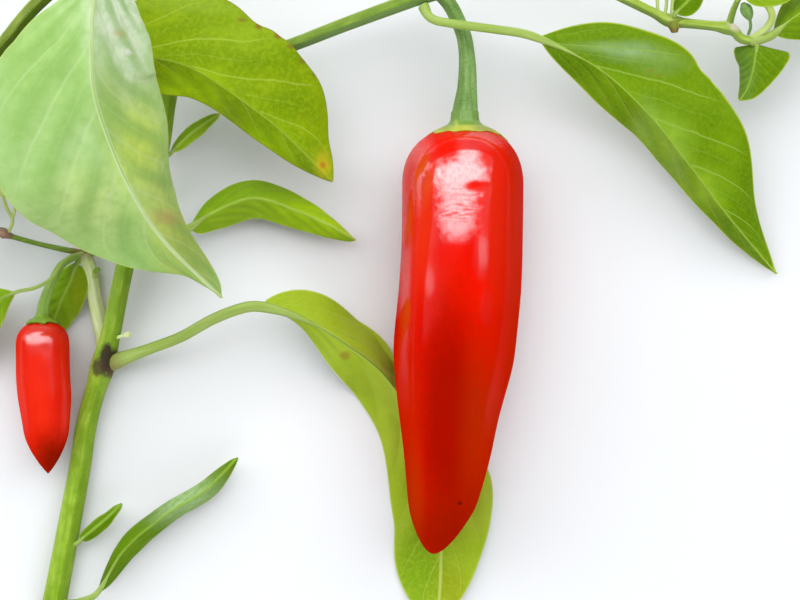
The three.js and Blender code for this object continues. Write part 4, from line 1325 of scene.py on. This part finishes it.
print("stage leaves")
leaves = {
    "front_leaf": {
        "skin": "front", "stalkSkin": "frontStalk", "ripple": 0.5, "stalkRadius": 0.9, "ribSize": 0.34,
        "stalk": [(-51, 60.8, 29), (-49.7, 60.6, 37), (-49.3, 59, 41)],
        "rib": [(-49.4, 56.3, 43), (-49.9, 48.7, 45), (-50.2, 42.2, 45), (-49.8, 32.7, 43.5), (-46, 20.1, 37),
                (-40.8, 10.3, 29), (-31.7, 0.4, 20)],
        "right": halfBlade(
            19.5, 0.43, 3.2, [28, 5, -10, 25, 20],
            notches=[(0.72, -2.6, 0.08), (0.87, 1.1, 0.05)],
        ),
        "left": halfBlade(16.5, 0.43, 0.8, [60, 57, 72]),
    },
    "middle_leaf": {
        "skin": "middle", "swell": 0.22,
        "stalk": [(-44.1, 34.5, 6.8), (-49, 35.5, 11), (-55.5, 37.2, 16.5), (-57.6, 39.5, 19.3)],
        "rib": [(-56, 41.6, 20.5), (-50.4, 42.9, 21.3), (-44.1, 42.9, 22), (-36.6, 40.9, 22.5),
                (-28, 35.4, 21), (-20.8, 29.9, 18), (-12.4, 21.6, 13)],
        "right": halfBlade(
            8.6, 0.44, 1.4, [24, 63, 44], rise=0.3, bend=1.0,
            veins=[-0.1, 0.07, 0.233, 0.4, 0.57, 0.74, 0.9],
        ),
        "left": halfBlade(
            14.8, 0.48, 1.6, [0, 14, 28], rise=0.7, bend=0.7,
            veins=[-0.2, 0.06, 0.345, 0.62, 0.78, 0.9],
            notches=[(0.47, 1.5, 0.06), (0.56, 0.4, 0.03), (0.77, -1.0, 0.07), (0.9, 0.6, 0.04)],
        ),
    },
    "right_leaf": {
        "skin": "right", "swell": 0.24,
        "stalk": [(4.4, 53.6, 12.4), (5.2, 51.7, 13.6), (6.5, 50.7, 14.6), (8.3, 50.2, 15.2),
                  (12.6, 49.5, 15.6), (17.5, 48.9, 15.4), (22.6, 48.2, 14.8)],
        "rib": [(25.3, 47.6, 14.6), (36.1, 41.8, 15.5), (45, 33.8, 15), (52, 25.7, 13), (60.8, 15.5, 8.5),
                (71.3, 5, 1.3)],
        "right": halfBlade(
            7.4, 0.45, 1.7, [36, 68, 62], rise=0.35,
            veins=[-0.1, 0.04, 0.185, 0.41, 0.6, 0.77, 0.92],
            notches=[(0.33, -0.6, 0.12), (0.75, 0.6, 0.07)],
        ),
        "left": halfBlade(
            12.8, 0.42, 2.1, [0, 5, 25], rise=0.44, bend=1.0,
            veins=[-0.2, -0.01, 0.17, 0.385, 0.55, 0.72, 0.88],
            notches=[(0.31, -1.0, 0.075), (0.385, 0.5, 0.025), (0.43, 0.2, 0.015), (0.6, -0.8, 0.12)],
        ),
    },
    "lower_leaf": {
        "skin": "lower", "ripple": 0.2, "stalkRadius": 1, "flare": 0.7, "flareLength": 4.0, "ribSize": 0.28,
        "stalk": [(-55.7, -12, 3.8), (-52, -10.9, 4.6), (-46.6, -9, 6), (-40.7, -6.8, 8), (-34.9, -3.7, 10),
                  (-30.2, -1.8, 11), (-26.6, -1.1, 11)],
        "rib": [(-25.3, -0.9, 11), (-17.4, -3.7, 10.4), (-10.1, -8.1, 9), (-2.8, -14.1, 6.5),
                (3.8, -24.5, 2.4), (7.6, -37.8, 1.1), (7.8, -49.2, 1.1), (7.2, -61, 1.1)],
        "right": halfBlade(11.9, 0.64, 1.6, [74, 37, 48, 36, 0]),
        "left": halfBlade(11.6, 0.48, 1.3, [18, 62, 85, -10, 0]),
    },
    "back_leaf": {
        "skin": "plain",
        "stalk": [(-48.6, 14.5, 5.8), (-46.2, 12.7, 5.8), (-42.8, 12.3, 6), (-40.2, 13, 6.4)],
        "rib": [(-39.4, 13.3, 6.5), (-34.3, 16.5, 7.3), (-26.8, 18.9, 8), (-18.5, 16.3, 7.4),
                (-12.1, 13.4, 6.2), (-8.4, 11.3, 4.6)],
        "right": halfBlade(5.4, 0.41, 0.9, [47, 50, 46]),
        "left": halfBlade(6.3, 0.43, 2.7, [36, 58, 42]),
    },
    "small_back_leaf": {
        "skin": "plain", "stalkRadius": 0.4, "ripple": 0.1, "swell": 0.15, "cell": 0.3,
        "stalk": [(-44.7, 27.5, 6.6), (-43.9, 26.9, 6.4), (-43, 27.2, 6.2)],
        "rib": [(-42.6, 27.6, 6.1), (-39.6, 30.5, 6.3), (-36.8, 32.7, 6), (-33.8, 34.9, 5)],
        "both": halfBlade(1.5, 0.45, 1.4, [25, 30, 25]),
    },
    "drooping_leaf": {
        "skin": "plain", "stalkRadius": 0.5, "ripple": 0.1, "cell": 0.4,
        "stalk": [(-59.6, 8.7, 3), (-60.3, 7.7, 3.4), (-60.6, 7.1, 3.7)],
        "rib": [(-60.8, 6.9, 3.8), (-61.9, 3.6, 3.8), (-63.7, 0, 3.2), (-66, -5.3, 1.2), (-67.2, -11.4, 0.6)],
        "right": halfBlade(4.3, 0.4, 1.8, [20, 15, 0]),
        "left": halfBlade(4, 0.34, 1.8, [20, 15, 0]),
    },
    "left_edge_leaf": {
        "skin": "plain", "stalkRadius": 0.34,
        "stalk": [leftJoint, (-61.3, 8, 7.5), (-62.9, 6.1, 9), (-64.4, 3.9, 9.6), (-67.1, 2.3, 9.8),
                  (-70.3, 1.6, 9.6)],
        "rib": [(-71.1, 1.4, 9.4), (-75.3, -0.6, 8.8), (-81.7, -5.2, 7), (-88, -11.5, 3.2),
                (-90.5, -17, 1.2)],
        "right": halfBlade(6.5, 0.46, 2, [50, 42, 20]),
        "left": halfBlade(6.5, 0.48, 2.2, [20, 20, 10]),
    },
    "left_twig_leaf": {
        "skin": "deep", "stalkRadius": 0.5,
        "stalk": [(-74.7, 12.8, 6.4), (-76, 14.3, 7.6), (-76.9, 16, 8.6)],
        "rib": [(-77.2, 16.6, 8.8), (-80, 20.6, 9.4), (-84.4, 24.4, 7.4), (-89, 27, 4)],
        "both": halfBlade(4.6, 0.4, 1.8, [20, 25, 20]),
    },
    "hanging_leaf": {
        "skin": "right", "stalkRadius": 0.5, "ripple": 0.1, "cell": 0.3, "swell": 0.2,
        "stalk": [endJoint, (65.1, 47.3, 11.9), (65.3, 47, 12)],
        "rib": [(65.4, 46.7, 12), (65.1, 44.9, 12), (64.7, 42.1, 11.5), (64, 39, 10), (62.8, 36.9, 9)],
        "right": halfBlade(5.2, 0.1, 0.7, [50, 62, 55]),
        "left": halfBlade(6.5, 0.1, 0.85, [8, 12, 10]),
    },
    "end_leaf": {
        "skin": "right",
        "stalk": [(64.5, 47.6, 11.5), (66, 47.7, 12.4), (67.6, 48.2, 12.9)],
        "rib": [(68.2, 48.6, 13), (72.4, 51.9, 14.3), (79.2, 56, 13.5), (87.4, 60.1, 9)],
        "right": halfBlade(6.2, 0.4, 1.7, [15, 25, 20]),
        "left": halfBlade(7.2, 0.42, 1.9, [55, 58, 35]),
    },
    "scar_leaf": {
        "skin": "deep", "stalkRadius": 0.45, "ripple": 0.1, "cell": 0.3, "swell": 0.15,
        "stalk": [(49.7, 51, 13), (49.8, 51.6, 14), (49.9, 51.9, 14.4)],
        "rib": [(50, 52.1, 14.5), (52.4, 54.4, 15), (55.7, 57.9, 14)],
        "right": halfBlade(2.6, 0.38, 1.5, [20, 25, 20]),
        "left": halfBlade(2.6, 0.38, 1.5, [40, 40, 20]),
    },
    "corner_tip_leaf": {
        "skin": "plain", "stalkRadius": 0.6,
        "stalk": [(-78, 33.9, 28.2), (-79.4, 32.8, 26.8), (-80.6, 31.8, 26.6)],
        "rib": [(-81, 31.4, 26.5), (-84, 28.7, 25), (-88, 23.8, 20), (-91, 18, 13)],
        "both": halfBlade(7.5, 0.4, 1.9, [25, 30, 25]),
    },
    "corner_side_leaf": {
        "skin": "plain", "stalkRadius": 0.6,
        "stalk": [(-73, 37.3, 33), (-74.5, 38.6, 34.4), (-76.4, 40, 34.8)],
        "rib": [(-77, 40.4, 34.8), (-81, 43.2, 34), (-86, 45.4, 30), (-91, 46.4, 23)],
        "both": halfBlade(7.5, 0.4, 1.9, [25, 30, 25]),
    },
    "base_leaf": {
        "skin": "deep", "stalkRadius": 0.6,
        "stalk": [(-65.2, -56.9, 2.4), (-61.6, -56.9, 3.6), (-57.6, -55.6, 4.6)],
        "rib": [(-56.4, -54.6, 5), (-51.3, -46.5, 6.4), (-43.7, -40.1, 6.8), (-36.4, -35.6, 5.6),
                (-30.6, -29.7, 3.2)],
        "right": halfBlade(5.4, 0.42, 1.2, [65, 68, 60]),
        "left": halfBlade(5, 0.42, 1.2, [65, 70, 60]),
    },
    "small_base_leaf": {
        "skin": "deep", "stalkRadius": 0.4, "ripple": 0.1, "cell": 0.3, "swell": 0.12,
        "stalk": [(-63.5, -46.9, 2.4), (-61.3, -46, 3.2), (-60.5, -45.5, 3.4)],
        "rib": [(-60.1, -45.1, 3.5), (-57.4, -42.9, 3.9), (-54.8, -40.7, 3.6), (-52.5, -38.4, 2.6)],
        "right": halfBlade(1.6, 0.35, 1.1, [25, 30, 25]),
        "left": halfBlade(1.3, 0.35, 1.1, [25, 30, 25]),
    },
}
for label, leaf in leaves.items():
    piece = makeLeaf(label, leaf, leafSkins[leaf["skin"]], leafUnder)
    finishPiece(piece, "pale_leaf" if label == "front_leaf" else "leaf", label)

shootLeaf = {
    "stalk": [(61.2, 54.2, 14.4), (61.8, 55.3, 15.2)], "stalkRadius": 0.4, "ripple": 0.1, "cell": 0.3,
    "swell": 0.15, "rib": [(62, 55.3, 15.4), (64.8, 55.3, 16.3), (69.4, 56.4, 16), (74.8, 59.2, 13.5)],
    "both": halfBlade(2.8, 0.4, 1.6, [20, 20, 20]),
}
shootStem = {
    "points": [(60.1, 50, 12), (60.6, 52.4, 13.2), (61.2, 54.2, 14.4), (61.8, 55.3, 15.2)],
    "radii": [0.7, 0.45], "sides": 20, "step": 0.4,
}
shoot = joinInto(
    makeLeaf("end_shoot", shootLeaf, leafSkins["plain"], leafUnder),
    makeLimb("shootStem", shootStem, limbSkins["branch"]),
)
finishPiece(shoot, "leaf", "end_shoot")

print("stage room")
# The room is in metres
bpy.ops.mesh.primitive_plane_add(size=14, location=(0, 0, 0))
table = bpy.context.object
table.name = "table"
material, tree, shader = newMaterial("paleTable", 0.75, 0.3)
cloud = cloudsOf(tree, objectPlace(tree), 3.0, 0.3, 0.7)
pale = blendColours(tree, cloud, paint(238, 238, 237), paint(242, 242, 241))
tree.links.new(pale, shader.inputs["Base Color"])
table.data.materials.append(material)

# A light without a turn points at the middle of the table
coolWhite = (0.93, 0.96, 1)
lights = {
    "overhead": {"at": (-0.44, 0.387, 0.6), "turn": (-31, 0, 0), "size": (2.9, 0.8), "power": 21.6},
    "left": {"at": (-0.82, 0.3, 0.3), "size": (0.3, 0.6), "power": 0.9},
    "right": {"at": (0.65, 0.017, 0.62), "turn": (0, 0, 0), "size": (0.7, 0.05), "power": 0.12},
    "near": {"at": (0.1, -0.95, 0.42), "size": (1.9, 0.8), "power": 12.0},
}
for label, light in lights.items():
    turn = Vector(light["at"]).to_track_quat("Z", "Y").to_euler()
    if "turn" in light:
        turn = [math.radians(angle) for angle in light["turn"]]
    bpy.ops.object.light_add(type="AREA", location=light["at"], rotation=turn)
    lamp = bpy.context.object
    lamp.name = label
    lamp.data.shape = "RECTANGLE"
    lamp.data.size, lamp.data.size_y = light["size"]
    lamp.data.energy = light["power"]
    lamp.data.color = coolWhite

# The room is brighter beyond the branch's upper end
dimWall, brightWall = 0.07, 0.36
world = bpy.data.worlds.new("paleRoom")
world.use_nodes = True
roomTree = world.node_tree
background = roomTree.nodes["Background"].inputs
background["Color"].default_value = (*coolWhite, 1)
roomWay = splitPlace(roomTree, roomTree.nodes.new("ShaderNodeTexCoord").outputs["Generated"])
roomTree.links.new(remap(roomTree, roomWay["Y"], -0.15, 0.4, dimWall, brightWall), background["Strength"])
bpy.context.scene.world = world
bpy.context.scene.view_settings.view_transform = "Standard"

cameraHeight = 312    # in millimetres, as the branch
bpy.ops.object.camera_add(location=inFrame((0, 0, cameraHeight)), rotation=(0, 0, 0))
camera = bpy.context.object
camera.data.lens = 73.77    # 0.183 mm for each of 800 pixels across, at the large fruit
camera.data.clip_start = 0.01
bpy.context.scene.camera = camera
